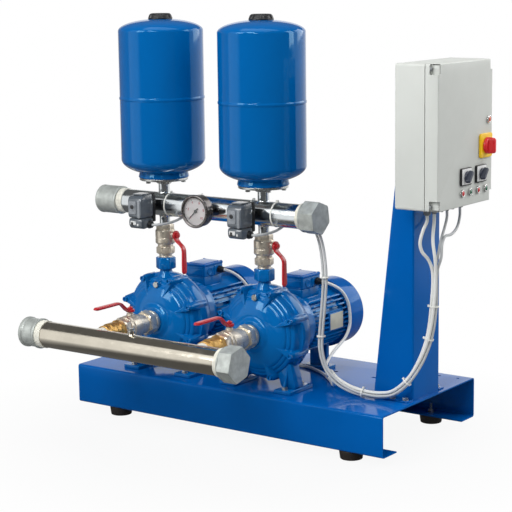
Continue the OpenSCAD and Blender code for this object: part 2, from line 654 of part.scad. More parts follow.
// switches and gauge
module at_switch(i) put() translate([pump_x[i] + switch_dx, 0, deliv_z]) children();
module switch_bodies() {
    color(slate) for (i = [0, 1]) at_switch(i) difference() {
        union() {
            zplate([-27, -15, -68], [27, 58, -34], 7);
            yplate([-27, 46, -42], [27, 58, 36], 6);
            ycyl(9, 57, port_y - deliv_r - 6);
            translate([0, 28, -56]) xcyl(10, 26, 36);
        }
        zplate([-23, -11, -64], [23, 46, -33], 3);
        translate([0, 28, -56]) xcyl(5, 20, 37);
        ycyl(3, 40, 70);
    }
}
module switch_covers() {
    color(slate) for (i = [0, 1]) at_switch(i) difference() {
        intersection() {
            yplate([-27, -15, -60], [27, 46, 43], 9);
            zplate([-27, -15, -34], [27, 60, 50], 7);
        }
        intersection() {
            yplate([-24, -12, -60], [24, 47, 40], 6);
            zplate([-24, -12, -35], [24, 60, 50], 4);
        }
        translate([0, 0, 8]) ycyl(7, -16, -13);
    }
}
module at_gauge() put() translate([gauge_x, 0, deliv_z]) children();
module gauge_case() {
    color(steel) at_gauge() difference() {
        union() {
            yturn([[0, 34], [44.5, 34], [44.5, 26], [47, 26], [47, 22], [51, 22], [52.5, 24], [52.5, 33],
                [50, 35], [50, 58], [46, 60], [0, 60]]);
            yhex(12, 59, port_y - deliv_r - 6);
        }
        ycyl(1.5 + run, 33, 46);
        ycyl(4, 50, port_y);
    }
}
module gauge_lens() {
    color([0.9, 0.95, 0.97]) at_gauge() ycyl(46.7, 24, 26);
}
module gauge_pointer() {
    color(black) at_gauge() {
        ycyl(1.5, 30, 44);
        ycyl(5, 29, 32);
        rotate([0, -45, 0]) box([-36, 29.5, -1.4], [14, 31, 1.4]);
    }
}

// panel
module panel_box() {
    t = 4;
    color(pale) put() difference() {
        union() {
            difference() {
                xplate([panel_x0, panel_y0, panel_z0], [panel_x1, panel_y1, panel_z1], 7);
                xplate([panel_x0 + t, panel_y0 + t, panel_z0 + t],
                    [panel_x1 + 1, panel_y1 - t, panel_z1 - t], 3);
            }
            for (z = hinge_z) {
                for (k = [z, z + 32]) {
                    box([panel_x1 - 12, panel_y1 - 1, k], [panel_x1, hinge_y, k + 12]);
                    translate([panel_x1, hinge_y, 0]) zcyl(5, k, k + 12);
                }
                translate([panel_x1, hinge_y, 0]) zcyl(2.5, z, z + 44);
            }
        }
        for (i = [0:5]) translate([gland_x, gland_y[i], panel_z0]) zcyl(gland_r[i] - 3, -1, t + 1);
    }
}
module panel_gear() {
    color(steel) put() {
        box([panel_x0 + 4, panel_y0 + 20, panel_z0 + 40], [panel_x0 + 8, panel_y1 - 20, panel_z1 - 30]);
        translate([panel_x0 + 7, panel_y0, panel_z0]) {
            for (y = [40, 110]) box([0, y, 240], [73, y + 46, 325]);
            for (y = [40, 110]) box([0, y, 150], [63, y + 46, 215]);
            box([0, 190, 200], [53, 280, 330]);
            box([0, 40, 70], [38, 280, 110]);
        }
    }
}
module panel_glands() {
    color(grey) put() for (i = [0:5]) translate([gland_x, gland_y[i], panel_z0]) difference() {
        union() {
            zhex(gland_r[i], -9, 0);
            zcyl(gland_r[i] - 2, -24, -8);
            zcyl(gland_r[i] - 3 - gap, -1, 12);
        }
        zcyl(5.6, -25, 13);
    }
}
module panel_door() {
    t = 3.5;
    color(pale) put() difference() {
        union() {
            difference() {
                xplate([door_x, panel_y0, panel_z0], [door_x1, panel_y1, panel_z1], 7);
                xplate([door_x - 1, panel_y0 + t, panel_z0 + t],
                    [door_x1 - t, panel_y1 - t, panel_z1 - t], 3.5);
            }
            for (y = [panel_y0, panel_y1 - 17.5]) for (z = [panel_z0, panel_z1 - 34.5])
                xplate([door_x, y, z], [door_x1, y + 17.5, z + 34.5], 7);
            for (z = hinge_z) difference() {
                union() {
                    box([door_x, panel_y1 - 1, z + 12 + gap], [door_x + 12, hinge_y, z + 32 - gap]);
                    translate([panel_x1, hinge_y, 0]) zcyl(5, z + 12 + gap, z + 32 - gap);
                }
                translate([panel_x1, hinge_y, 0]) zcyl(2.5 + run, z, z + 44);
            }
        }
        for (y = [panel_y0 - 1, panel_y1 - 14]) for (z = [panel_z0 - 1, panel_z1 - 31])
            box([door_x1 - 28, y, z], [door_x1 + 1, y + 15, z + 32]);
        for (p = lamp_at) translate([0, p[0], p[1]]) xcyl(8 + gap, door_x1 - 6, door_x1 + 1);
        translate([0, main_y, main_z]) xcyl(12, door_x1 - 6, door_x1 + 1);
        for (y = sel_y) translate([0, y, sel_z]) xcyl(12, door_x1 - 6, door_x1 + 1);
    }
}
module door_lamps() {
    color(red) put() for (p = lamp_at) translate([0, p[0], p[1]]) {
        xcyl(8, door_x1 - 16, door_x1 + 1);
        xcyl(12, door_x1, door_x1 + 3);
        xcyl(9.5, door_x1 + 2, door_x1 + 9);
    }
}
module switch_plate() {
    color(yellow) put() difference() {
        union() {
            xplate([door_x1, main_y - 36, main_z - 36], [knob_x - gap, main_y + 36, main_z + 36], 8);
            translate([0, main_y, main_z]) xcyl(12 - gap, door_x1 - 12, door_x1 + 1);
        }
        translate([0, main_y, main_z]) xcyl(6 + run, door_x1 - 13, knob_x + 1);
    }
}
module main_knob() {
    color(red) put() translate([0, main_y, main_z]) {
        xcyl(6, door_x1 - 14, knob_x + 1);
        xcyl(27, knob_x, knob_x + 12);
        xplate([knob_x + 11, -9, -27], [knob_x1, 9, 27], 8);
    }
}
module selector_plates() {
    color(white) put() for (y = sel_y) difference() {
        union() {
            xplate([door_x1, y - 31, sel_z - 26], [door_x1 + 4, y + 31, sel_z + 26], 6);
            translate([0, y, sel_z]) xcyl(12 - gap, door_x1 - 12, door_x1 + 1);
        }
        translate([0, y, sel_z]) xcyl(4 + run, door_x1 - 13, door_x1 + 5);
    }
}
module selector_knob(y) {
    color(slate) put() translate([0, y, sel_z]) {
        xcyl(4, door_x1 - 14, door_x1 + 5);
        xcyl(18, door_x1 + 4 + gap, door_x1 + 12);
        xplate([door_x1 + 11, -5, -20], [door_x1 + 24, 5, 20], 4);
    }
}
module selector_knob_1() selector_knob(sel_y[0]);
module selector_knob_2() selector_knob(sel_y[1]);

// rotors: shaft, rotor core, impeller and fan are keyed together
module rotor() {
    color(steel) {
        ycyl(12, 92, 502);
        ycyl(46, 272, 422);
        difference() {
            yturn([[11, 100], [44, 100], [105, 112], [105, 124], [11, 124]]);
            for (a = [0:45:315]) rotate([0, -a, 0]) translate([80, 0, 0]) ycyl(9, 111, 119);
        }
        ycyl(22, 458, 500);
        for (a = [0:45:315]) rotate([0, -a, 0]) box([18, 462, -1.5], [96, 498, 1.5]);
    }
}
module rotor_1() at_pump(0) rotor();
module rotor_2() at_pump(1) rotor();

// cables and ties
module cables_motor() {
    color(white) put() {
        cord(route_m1, 5);
        cord(route_m2, 5);
    }
}
module cables_switch() {
    color(grey) put() {
        cord(route_s1, 4.2);
        cord(route_s2, 4.2);
    }
}
module cable_ties() {
    color(white) put() {
        for (x = [pump_x[0] + 26, pump_x[0] + 150, pump_x[1] - 40, pump_x[1] + 50])
            translate([0, port_y, deliv_z]) {
            difference() {
                xcyl(deliv_r + 1.5, x, x + 5);
                xcyl(deliv_r + 0.02, x - 1, x + 6);
            }
            box([x - 1, -4, deliv_r + 1], [x + 6, 5, deliv_r + 6]);
        }
        for (i = [2, 5, 7, 8]) tie_at(bundle, i, bundle_r[0] + 5 + gap);
        for (i = [3, 5]) tie_at(drop, i, drop_r[0] + (drop_r[1] - drop_r[0]) * i / 7 + 4.2 + gap);
    }
}
module tie_at(p, i, r) {
    t = tang(p, i);
    translate(p[i]) rotate([0, acos(t[2]), atan2(t[1], t[0])]) difference() {
        union() {
            zcyl(r + 1.4, -2.5, 2.5);
            box([-r - 6, -4, -3], [-r, 4, 3]);
        }
        zcyl(r, -4, 4);
    }
}

base_frame();
rubber_feet();
foot_studs();
panel_post();
base_bolts();
pump_casing_1();
pump_casing_2();
pump_lanterns();
casing_screws();
vent_plugs();
motor_bodies();
terminal_boxes();
terminal_lids();
motor_glands();
fan_cowls();
rating_plates();
suction_manifold();
delivery_manifold();
suction_coupling();
delivery_coupling();
manifold_caps();
thread_sleeves();
suction_valves();
delivery_valves();
valve_unions();
check_valves();
tank_shells();
tank_flanges();
tank_caps();
switch_bodies();
switch_covers();
gauge_case();
gauge_lens();
gauge_pointer();
panel_box();
panel_gear();
panel_glands();
panel_door();
door_lamps();
switch_plate();
main_knob();
selector_plates();
selector_knob_1();
selector_knob_2();
suction_lever_1();
suction_lever_2();
delivery_lever_1();
delivery_lever_2();
suction_ball_1();
suction_ball_2();
delivery_ball_1();
delivery_ball_2();
rotor_1();
rotor_2();
check_disc_1();
check_disc_2();
cables_motor();
cables_switch();
cable_ties();
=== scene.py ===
import bmesh
import bpy
import numpy as np
from mathutils import Matrix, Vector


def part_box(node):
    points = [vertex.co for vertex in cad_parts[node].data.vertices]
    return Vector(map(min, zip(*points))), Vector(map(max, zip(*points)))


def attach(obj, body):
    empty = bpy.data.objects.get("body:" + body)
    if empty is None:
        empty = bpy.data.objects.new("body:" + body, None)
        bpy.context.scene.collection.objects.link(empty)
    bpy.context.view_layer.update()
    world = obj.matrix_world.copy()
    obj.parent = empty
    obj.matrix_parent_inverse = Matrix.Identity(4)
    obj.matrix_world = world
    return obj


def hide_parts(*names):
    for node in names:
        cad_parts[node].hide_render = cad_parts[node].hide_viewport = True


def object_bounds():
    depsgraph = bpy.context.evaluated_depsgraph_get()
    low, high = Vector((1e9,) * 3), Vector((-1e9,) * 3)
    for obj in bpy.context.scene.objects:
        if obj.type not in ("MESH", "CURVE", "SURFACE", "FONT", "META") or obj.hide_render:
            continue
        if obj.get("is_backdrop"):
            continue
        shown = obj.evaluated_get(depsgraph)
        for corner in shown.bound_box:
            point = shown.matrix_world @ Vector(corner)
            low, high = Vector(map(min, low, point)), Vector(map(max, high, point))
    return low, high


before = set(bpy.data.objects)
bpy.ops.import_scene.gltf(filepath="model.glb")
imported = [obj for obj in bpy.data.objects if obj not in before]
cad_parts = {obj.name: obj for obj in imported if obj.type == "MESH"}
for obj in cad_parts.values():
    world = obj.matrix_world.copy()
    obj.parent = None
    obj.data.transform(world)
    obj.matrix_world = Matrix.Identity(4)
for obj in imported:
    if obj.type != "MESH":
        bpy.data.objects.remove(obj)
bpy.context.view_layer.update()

# Studio: a pale floor that rises into a round wall, so that any side of the set has the same
# plain ground. The camera stands well to the right and a little above, with a long lens. Soft
# boxes light the set, and a white card puts a band of light on the polished pipes.
scene = bpy.context.scene
scene.view_settings.view_transform = "Standard"
corner = np.array(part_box("base_frame")[0])


def shop(points):
    """Millimetres from the base channel's left front lower corner, as metres in the frame."""
    return np.asarray(points, float) / 1000.0 + corner


picture_width, focal_px = 512, 1626.05
yaw, pitch, roll = np.radians([36.113, 10.045, -0.778])
back = np.array([np.sin(yaw) * np.cos(pitch), -np.cos(yaw) * np.cos(pitch), np.sin(pitch)])
right = np.array([np.cos(yaw), np.sin(yaw), 0.0])
over = np.cross(back, right)
eye = np.eye(4)
eye[:3, 0] = np.cos(roll) * right + np.sin(roll) * over
eye[:3, 1] = np.cos(roll) * over - np.sin(roll) * right
eye[:3, 2] = back
eye[:3, 3] = shop([3601.2, -3920.5, 1423.4])
camera = bpy.data.objects.new("camera", bpy.data.cameras.new("camera"))
camera.data.sensor_width = 36.0
camera.data.lens = focal_px / picture_width * 36.0
camera.data.clip_end = 100.0
camera.matrix_world = Matrix(eye.tolist())
scene.collection.objects.link(camera)
scene.camera = camera


def tint(red, green, blue):
    """Screen colour of 0 to 255 as the linear values that shaders take."""
    c = np.array([red, green, blue]) / 255.0
    c = np.where(c <= 0.04045, c / 12.92, ((c + 0.055) / 1.055) ** 2.4)
    return (*(float(x) for x in c), 1.0)


def laid(axis, a, b, c):
    """Points that have c along the axis, and a and b across it in the order of the other axes."""
    return np.stack({"x": (c, a, b), "y": (a, c, b), "z": (a, b, c)}[axis], -1)


def turned(profile, centre=(0, 0, 0), axis="z", n=72):
    """Surface of revolution: each profile point's radius swings round the axis at n even
    angles, and its second number is the place along the axis."""
    t = np.linspace(0, 2 * np.pi, n, endpoint=False)
    r, s = np.asarray(profile, float).T[:, :, None]
    return laid(axis, r * np.cos(t), r * np.sin(t), s + 0 * t) + np.asarray(centre, float)


def carried(outline, stations, axis):
    """Closed outline carried straight along an axis and repeated at each station."""
    outline, stations = np.asarray(outline, float), np.asarray(stations, float)
    across = np.broadcast_to(outline, (len(stations), *outline.shape))
    return laid(axis, across[..., 0], across[..., 1], stations[:, None] + 0 * across[..., 0])


def build(name, shells, material, sharp=32.0):
    """One mesh from shells of rings in shop millimetres. Quads join neighbouring rings, one face
    closes each open end, or the last ring joins the first where the shell is marked "loop".
    Doubles merge, faces turn outwards, and edges steeper than the sharp angle stay crisp."""
    spots, corners, totals, count = [], [], [], 0
    for shell in shells:
        rings, way = shell if isinstance(shell, tuple) else (shell, "capped")
        k, n = rings.shape[:2]
        i = np.arange(k if way == "loop" else k - 1)[:, None]
        j = np.arange(n)[None]
        this, after = i * n, (i + 1) % k * n
        quads = np.stack([this + j, this + (j + 1) % n, after + (j + 1) % n, after + j], -1)
        corners.append(quads.reshape(-1) + count)
        totals.append(np.full(quads.shape[0] * quads.shape[1], 4))
        if way == "capped":
            corners.append(np.concatenate([np.arange(n)[::-1], (k - 1) * n + np.arange(n)]) + count)
            totals.append(np.array([n, n]))
        spots.append(rings.reshape(-1, 3))
        count += k * n
    corners, totals = np.concatenate(corners), np.concatenate(totals)
    starts = np.concatenate([[0], np.cumsum(totals)[:-1]])
    mesh = bpy.data.meshes.new(name)
    mesh.vertices.add(count)
    mesh.vertices.foreach_set("co", shop(np.concatenate(spots)).astype(np.float32).ravel())
    mesh.loops.add(len(corners))
    mesh.loops.foreach_set("vertex_index", corners.astype(np.int32))
    mesh.polygons.add(len(totals))
    mesh.polygons.foreach_set("loop_start", starts.astype(np.int32))
    mesh.polygons.foreach_set("loop_total", totals.astype(np.int32))
    mesh.update(calc_edges=True)
    work = bmesh.new()
    work.from_mesh(mesh)
    bmesh.ops.remove_doubles(work, verts=work.verts, dist=2e-6)
    bmesh.ops.dissolve_degenerate(work, dist=1e-7, edges=work.edges)
    bmesh.ops.recalc_face_normals(work, faces=work.faces)
    work.to_mesh(mesh)
    work.free()
    mesh.polygons.foreach_set("use_smooth", np.ones(len(mesh.polygons), bool))
    mesh.set_sharp_from_angle(angle=np.radians(sharp))
    piece = bpy.data.objects.new(name, mesh)
    scene.collection.objects.link(piece)
    piece.data.materials.append(material)
    return piece


ground = bpy.data.materials.new("studio_paper")
ground.use_nodes = True
tree = ground.node_tree
paper = tree.nodes["Principled BSDF"]
paper.inputs["Base Color"].default_value = tint(176, 177, 178)
paper.inputs["Roughness"].default_value = 0.9
glow = tree.nodes.new("ShaderNodeEmission")
glow.inputs["Color"].default_value = (1.0, 1.0, 1.0, 1.0)
ray = tree.nodes.new("ShaderNodeLightPath")
spot_on_floor = tree.nodes.new("ShaderNodeTexCoord").outputs["Object"]


def reckon(operation, *values):
    """One arithmetic node of the floor's shader: sockets are linked and numbers are set."""
    node = tree.nodes.new("ShaderNodeMath")
    node.operation = operation
    for slot, value in zip(node.inputs, values):
        if isinstance(value, float):
            slot.default_value = value
        else:
            tree.links.new(value, slot)
    return node.outputs[0]


def ramp(value, first, last, low, high):
    """Straight change from low to high while the value runs from first to last."""
    node = tree.nodes.new("ShaderNodeMapRange")
    for slot, number in zip(("From Min", "From Max", "To Min", "To Max"), (first, last, low, high)):
        node.inputs[slot].default_value = number
    tree.links.new(value, node.inputs["Value"])
    return node.outputs["Result"]


def vector(operation, first, second=None):
    """One vector node of the floor's shader, whose second socket is a fixed vector."""
    node = tree.nodes.new("ShaderNodeVectorMath")
    node.operation = operation
    tree.links.new(first, node.inputs[0])
    if second is not None:
        node.inputs[1].default_value = tuple(float(x) for x in second)
    return node.outputs["Value" if operation in ("LENGTH", "DOT_PRODUCT") else "Vector"]


# Seen straight on, the paper is white beyond the shadow of the set. In reflections it is bright
# only far behind the set and at its front left, so that the polished pipes show bands.
reach = vector("LENGTH", spot_on_floor)
outward = vector("NORMALIZE", vector("MULTIPLY", spot_on_floor, (1, 1, 0)))
toward_eye = vector("DOT_PRODUCT", outward, (np.sin(yaw), -np.cos(yaw), 0))
to_right = vector("DOT_PRODUCT", outward, right)
far_zone = reckon("MULTIPLY", ramp(toward_eye, 0.12, -0.02, 0.0, 0.85),
                  ramp(to_right, -0.5, -0.1, 0.15, 1.0))
far_zone = reckon("MULTIPLY", far_zone, ramp(reach, 2.6, 4.4, 0.15, 1.0))
left_zone = reckon("MULTIPLY", ramp(to_right, -0.84, -0.92, 0.0, 0.95),
                   ramp(toward_eye, -0.14, -0.04, 0.0, 1.0))
left_zone = reckon("MULTIPLY", left_zone, ramp(reach, 0.9, 1.8, 0.0, 1.0))
bright = reckon("ADD", reckon("MAXIMUM", far_zone, left_zone), 0.11)
glossy = ray.outputs["Is Glossy Ray"]
shine = reckon("MULTIPLY_ADD", glossy, reckon("SUBTRACT", bright, 1.0), 1.0)
seen = reckon("MAXIMUM", ray.outputs["Is Camera Ray"], ray.outputs["Is Transmission Ray"])
glowing = reckon("MAXIMUM", reckon("MULTIPLY", seen, ramp(reach, 0.55, 1.15, 0.92, 1.0)), glossy)
blend = tree.nodes.new("ShaderNodeMixShader")
tree.links.new(shine, glow.inputs["Strength"])
tree.links.new(glowing, blend.inputs[0])
tree.links.new(paper.outputs[0], blend.inputs[1])
tree.links.new(glow.outputs[0], blend.inputs[2])
tree.links.new(blend.outputs[0], tree.nodes["Material Output"].inputs["Surface"])
floor_r, cove_r, wall_top = 9000.0, 3000.0, 5000.0
sweep = np.radians(np.linspace(0, 90, 16))
cove = np.stack([floor_r + cove_r * np.sin(sweep), cove_r - cove_r * np.cos(sweep)], -1)
wall = np.concatenate([[[0.0, 0.0]], cove, [[floor_r + cove_r, wall_top]]])
floor = build("studio_floor", [(turned(wall, (680, 104, -28.4), "z", 96), "open")], ground)
floor.data.flip_normals()
floor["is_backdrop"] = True
card_foot = [[-2606, -6077], [-5256, -3605], [-5300, -3650], [-2650, -6120]]
card = build("studio_card", [carried(card_foot, [-20, 6500], "z")], ground)
card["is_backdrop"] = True

world = bpy.data.worlds.new("studio_sky")
scene.world = world
world.use_nodes = True
sky = world.node_tree.nodes["Background"]
sky.inputs["Color"].default_value = (1.0, 1.0, 1.0, 1.0)
sky_ray = world.node_tree.nodes.new("ShaderNodeLightPath")
dim = world.node_tree.nodes.new("ShaderNodeMapRange")
dim.inputs["To Min"].default_value = 0.44
dim.inputs["To Max"].default_value = 0.13
world.node_tree.links.new(sky_ray.outputs["Is Glossy Ray"], dim.inputs["Value"])
world.node_tree.links.new(dim.outputs["Result"], sky.inputs["Strength"])
middle = shop([640, 150, 560])


def soft_box(name, place, size, power, along=None):
    """Square-edged area light at a shop point, turned so that its face looks at the middle of the
    set and its width lies level, or along a given direction."""
    light = bpy.data.objects.new(name, bpy.data.lights.new(name, "AREA"))
    light.data.shape = "RECTANGLE"
    light.data.size, light.data.size_y = size
    light.data.energy = power
    place = shop(place)
    z = (place - middle) / np.linalg.norm(place - middle)
    x = np.cross([0.0, 0.0, 1.0], z) if along is None else np.asarray(along, float)
    x = x - x.dot(z) * z
    x = x / np.linalg.norm(x)
    stand = np.eye(4)
    stand[:3] = np.column_stack([x, np.cross(z, x), z, place])
    light.matrix_world = Matrix(stand.tolist())
    scene.collection.objects.link(light)


soft_box("key_box", (-1000, -3800, 2900), (1.6, 2.4), 88)
soft_box("side_box", (4000, 1900, 2480), (1.2, 2.8), 56)
soft_box("top_box", (700, -300, 4200), (3.2, 2.4), 40)
soft_box("back_box", (2000, 3200, 2200), (2.2, 2.2), 40)
soft_box("strip_box", (1330, -2980, 2820), (2.3, 0.45), 62, (0.82, -0.26, -0.51))

# Base: one steel sheet folded into a channel with lips under both long walls, slotted for motor
# feet, and dipped in glossy blue enamel. It is open at both ends.
base_l, base_d, base_h, sheet, lip = 1190.0, 556.0, 128.0, 4.0, 80.0
bend = 2 * sheet
inner = bend - sheet


def finish(name, colour, rough, metal=0.0, patch=(5.0, 0.05), rub=0.15, grain=(700.0, 0.05, 0.02),
           **sockets):
    """Shaded surface of a screen colour on object coordinates: a broad noise shifts the tone by
    its share, a middle noise shifts the roughness by the share called rub, and a grain noise lifts
    the surface by strength over a depth in millimetres. Other sockets are set as they are named."""
    made = bpy.data.materials.new(name)
    made.use_nodes = True
    nodes, links = made.node_tree.nodes, made.node_tree.links
    shader = nodes["Principled BSDF"]
    shader.inputs["Metallic"].default_value = metal
    for socket, value in sockets.items():
        shader.inputs[socket.replace("_", " ")].default_value = value
    where = nodes.new("ShaderNodeTexCoord").outputs["Object"]

    def noise(scale, detail):
        """Fractal noise of a scale in cells per metre."""
        cloud = nodes.new("ShaderNodeTexNoise")
        cloud.inputs["Scale"].default_value = scale
        cloud.inputs["Detail"].default_value = detail
        links.new(where, cloud.inputs["Vector"])
        return cloud.outputs["Fac"]

    tone = nodes.new("ShaderNodeValToRGB")
    low, high = tone.color_ramp.elements
    low.position, high.position = 0.32, 0.68
    low.color = (*(c * (1 - patch[1]) for c in tint(*colour)[:3]), 1.0)
    high.color = (*(min(1.0, c * (1 + patch[1])) for c in tint(*colour)[:3]), 1.0)
    links.new(noise(patch[0], 4.0), tone.inputs["Fac"])
    links.new(tone.outputs["Color"], shader.inputs["Base Color"])
    gloss = nodes.new("ShaderNodeMapRange")
    gloss.inputs["From Min"].default_value = 0.3
    gloss.inputs["From Max"].default_value = 0.7
    gloss.inputs["To Min"].default_value = rough * (1 - rub)
    gloss.inputs["To Max"].default_value = rough * (1 + rub)
    links.new(noise(patch[0] * 5.0, 5.0), gloss.inputs["Value"])
    links.new(gloss.outputs["Result"], shader.inputs["Roughness"])
    lift = nodes.new("ShaderNodeBump")
    lift.inputs["Strength"].default_value = grain[1]
    lift.inputs["Distance"].default_value = grain[2] / 1000.0
    links.new(noise(grain[0], 2.0), lift.inputs["Height"])
    links.new(lift.outputs["Normal"], shader.inputs["Normal"])
    return made


def fit(piece, slot, *nodes, body="frame"):
    """Rides a piece on its body and lets it stand for its nodes; the slot of its finish is not used."""
    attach(piece, body)
    if nodes:
        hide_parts(*nodes)


def add(name, shells, material, slot, *nodes, body="frame", sharp=32.0):
    """Builds a piece from its shells and fits it."""
    fit(build(name, shells, material, sharp), slot, *nodes, body=body)


def arc(centre, r, first, last, n=8):
    """Points on a circle from the first to the last angle in degrees."""
    q = np.radians(np.linspace(first, last, n + 1))
    return np.stack([centre[0] + r * np.cos(q), centre[1] + r * np.sin(q)], -1)


def drilled(piece, shells):
    """Cuts closed shells out of a piece, keeps the result as its mesh and marks its crisp edges."""
    tool = build("cutter", shells, piece.data.materials[0])
    cut = piece.modifiers.new("cut", "BOOLEAN")
    cut.operation, cut.object, cut.solver = "DIFFERENCE", tool, "EXACT"
    bpy.context.view_layer.update()
    whole = bpy.data.meshes.new_from_object(piece.evaluated_get(bpy.context.evaluated_depsgraph_get()))
    piece.modifiers.clear()
    old, piece.data = piece.data, whole
    whole.name = piece.name
    bpy.data.meshes.remove(old)
    bpy.data.objects.remove(tool)
    whole.set_sharp_from_angle(angle=np.radians(32))
    return piece


blue_sheen = (0.25, 0.8, 1.0, 1.0)
enamel = finish("blue_enamel", (0, 90, 170), 0.11, patch=(4.0, 0.05), rub=0.25, grain=(160.0, 0.10, 0.08),
                Specular_IOR_Level=0.2, Specular_Tint=blue_sheen, Coat_Weight=0.08, Coat_Roughness=0.05)
channel = np.concatenate([
    [[lip, 0]], arc((bend, bend), bend, 270, 180), arc((bend, base_h - bend), bend, 180, 90),
    arc((base_d - bend, base_h - bend), bend, 90, 0), arc((base_d - bend, bend), bend, 0, -90),
    [[base_d - lip, 0], [base_d - lip, sheet]], arc((base_d - bend, bend), inner, -90, 0),
    arc((base_d - bend, base_h - bend), inner, 0, 90), arc((bend, base_h - bend), inner, 90, 180),
    arc((bend, bend), inner, 180, 270), [[lip, sheet]]])
base = build("base_channel", [carried(channel, [0, base_l], "x")], enamel)
slot_ends = np.concatenate([arc((22, 0), 6, -90, 90), arc((-22, 0), 6, 90, 270)])
depth = [base_h - 9, base_h + 6]
slots = [carried(slot_ends + [x, 382], depth, "z") for x in (364, 758, 942)]
holes = [turned([[5, z] for z in depth], (x, base_d - 38, 0), "z", 24) for x in (base_l - 105, base_l - 38)]
fit(drilled(base, slots + holes), "blue_paint", "base_frame")

# Feet: moulded rubber buffers, a little wider at the top, screwed under the lips by zinc-plated
# studs whose nuts and washers show inside the open end of the channel.
foot_h, foot_r = 28.0, 37.0
feet_at = [(x, y) for y in (40, base_d - 40) for x in (150, base_l - 134)]
rubber = finish("black_rubber", (42, 36, 33), 0.62, patch=(30.0, 0.18), grain=(1500.0, 0.25, 0.10))
zinc = finish("zinc_plate", (196, 198, 196), 0.30, metal=1.0, patch=(60.0, 0.10), rub=0.3,
              grain=(900.0, 0.06, 0.03))


def soften(points, r, n=4, closed=False):
    """Rounds a polyline's corners: each is swapped for the parabola between the points that lie
    r before and after it, or nearly half an edge where the edge is short."""
    p = np.asarray(points, float)
    mid = p if closed else p[1:-1]
    before = np.roll(p, 1, 0) if closed else p[:-2]
    after = np.roll(p, -1, 0) if closed else p[2:]
    d0, d1 = np.linalg.norm(before - mid, axis=1), np.linalg.norm(after - mid, axis=1)
    d = np.minimum(r, 0.48 * np.minimum(d0, d1))[:, None]
    a, b = mid + d * (before - mid) / d0[:, None], mid + d * (after - mid) / d1[:, None]
    t = np.linspace(0, 1, n + 1)[None, :, None]
    bows = (1 - t) ** 2 * a[:, None] + 2 * t * (1 - t) * mid[:, None] + t ** 2 * b[:, None]
    bows = bows.reshape(-1, p.shape[1])
    return bows if closed else np.concatenate([p[:1], bows, p[-1:]])


def lathe(profile, ease, heart=(0, 0, 0), axis="z", n=72):
    """Turned piece: a profile of radius and place, its corners eased, swung round an axis."""
    return turned(soften(profile, ease), heart, axis, n)


def hexed(flats, stations, centre, axis, turn=0.0):
    """Six-sided bar turned down at its ends: at each station (place, clip) the radius is the
    hexagon's, or the clip circle's where that is less. One flat faces the turn angle."""
    t = np.linspace(0, 2 * np.pi, 72, endpoint=False) + np.radians(turn)
    off_flat = np.mod(t - np.radians(turn) + np.pi / 6, np.pi / 3) - np.pi / 6
    place, clip = np.asarray(stations, float).T
    r = np.minimum(flats / 2 / np.cos(off_flat)[None], clip[:, None])
    return laid(axis, r * np.cos(t), r * np.sin(t), place[:, None] + 0 * r) + np.asarray(centre, float)


def nut(flats, low, high, centre, axis, turn=0.0):
    """Hexagon with both ends chamfered at thirty degrees."""
    tip, full = flats * 0.49, flats * 0.575
    drop = (full - tip) * 0.58
    return hexed(flats, [(low, tip), (low + drop, full), (high - drop, full), (high, tip)], centre, axis,
                 turn)


def threaded(r, low, high, pitch, centre, axis, n=24):
    """Rod whose radius zigzags once in each pitch."""
    place = np.arange(low, high, pitch / 2)
    r = r - 0.55 * (np.arange(len(place)) % 2) * pitch
    return turned(np.stack([r, place], -1), centre, axis, n)


foot = [[0, -foot_h], [foot_r - 3, -foot_h], [foot_r, -5], [foot_r, 0], [0, 0]]
add("rubber_buffers", [lathe(foot, 2.0, (x, y, 0)) for x, y in feet_at], rubber, "rubber", "rubber_feet")
studs = []
for x, y in feet_at:
    on_lip = (x, y, sheet)
    studs += [threaded(5.0, -10, 34, 1.5, (x, y, 0), "z"), nut(17, 1.8, 10, on_lip, "z", 12),
              turned([[11, 0], [11, 1.8]], on_lip, "z", 40)]
add("foot_studs_and_nuts", studs, zinc, "zinc", "foot_studs")

# Post: one blue sheet folded into a tall channel whose two flanges taper towards the panel,
# welded to two short feet that are bolted to the base.
panel_x = base_l - 16.0
post_y0, post_y1, post_top, post_r = 200.0, 360.0, base_h + 950.0, 7.0


def post_ring(width, z):
    """Outline of the folded channel at one height, for the flange width there: outside, round both
    bends, and back along the inside."""
    x, y0, y1 = panel_x, post_y0, post_y1
    near, far = (x - post_r, y0 + post_r), (x - post_r, y1 - post_r)
    ring = np.concatenate([
        [[x - width, y0]], arc(near, post_r, -90, 0), arc(far, post_r, 0, 90),
        [[x - width, y1], [x - width, y1 - sheet]], arc(far, post_r - sheet, 90, 0),
        arc(near, post_r - sheet, 0, -90), [[x - width, y0 + sheet]]])
    return np.column_stack([ring, np.full(len(ring), z)])


def ring_of(w, h, r, n=5):
    """Loop round a rectangle about the origin whose corners are quarter circles."""
    q = np.radians(np.linspace(0, 90, n + 1))
    quarter = np.stack([np.cos(q), np.sin(q)], -1) * r
    turns = np.array([[[1, 0], [0, 1]], [[0, -1], [1, 0]], [[-1, 0], [0, -1]], [[0, 1], [-1, 0]]])
    heart = np.array([[1, 1], [-1, 1], [-1, -1], [1, -1]]) * [w / 2 - r, h / 2 - r]
    return (np.einsum("kij,nj->kni", turns, quarter) + heart[:, None]).reshape(-1, 2)


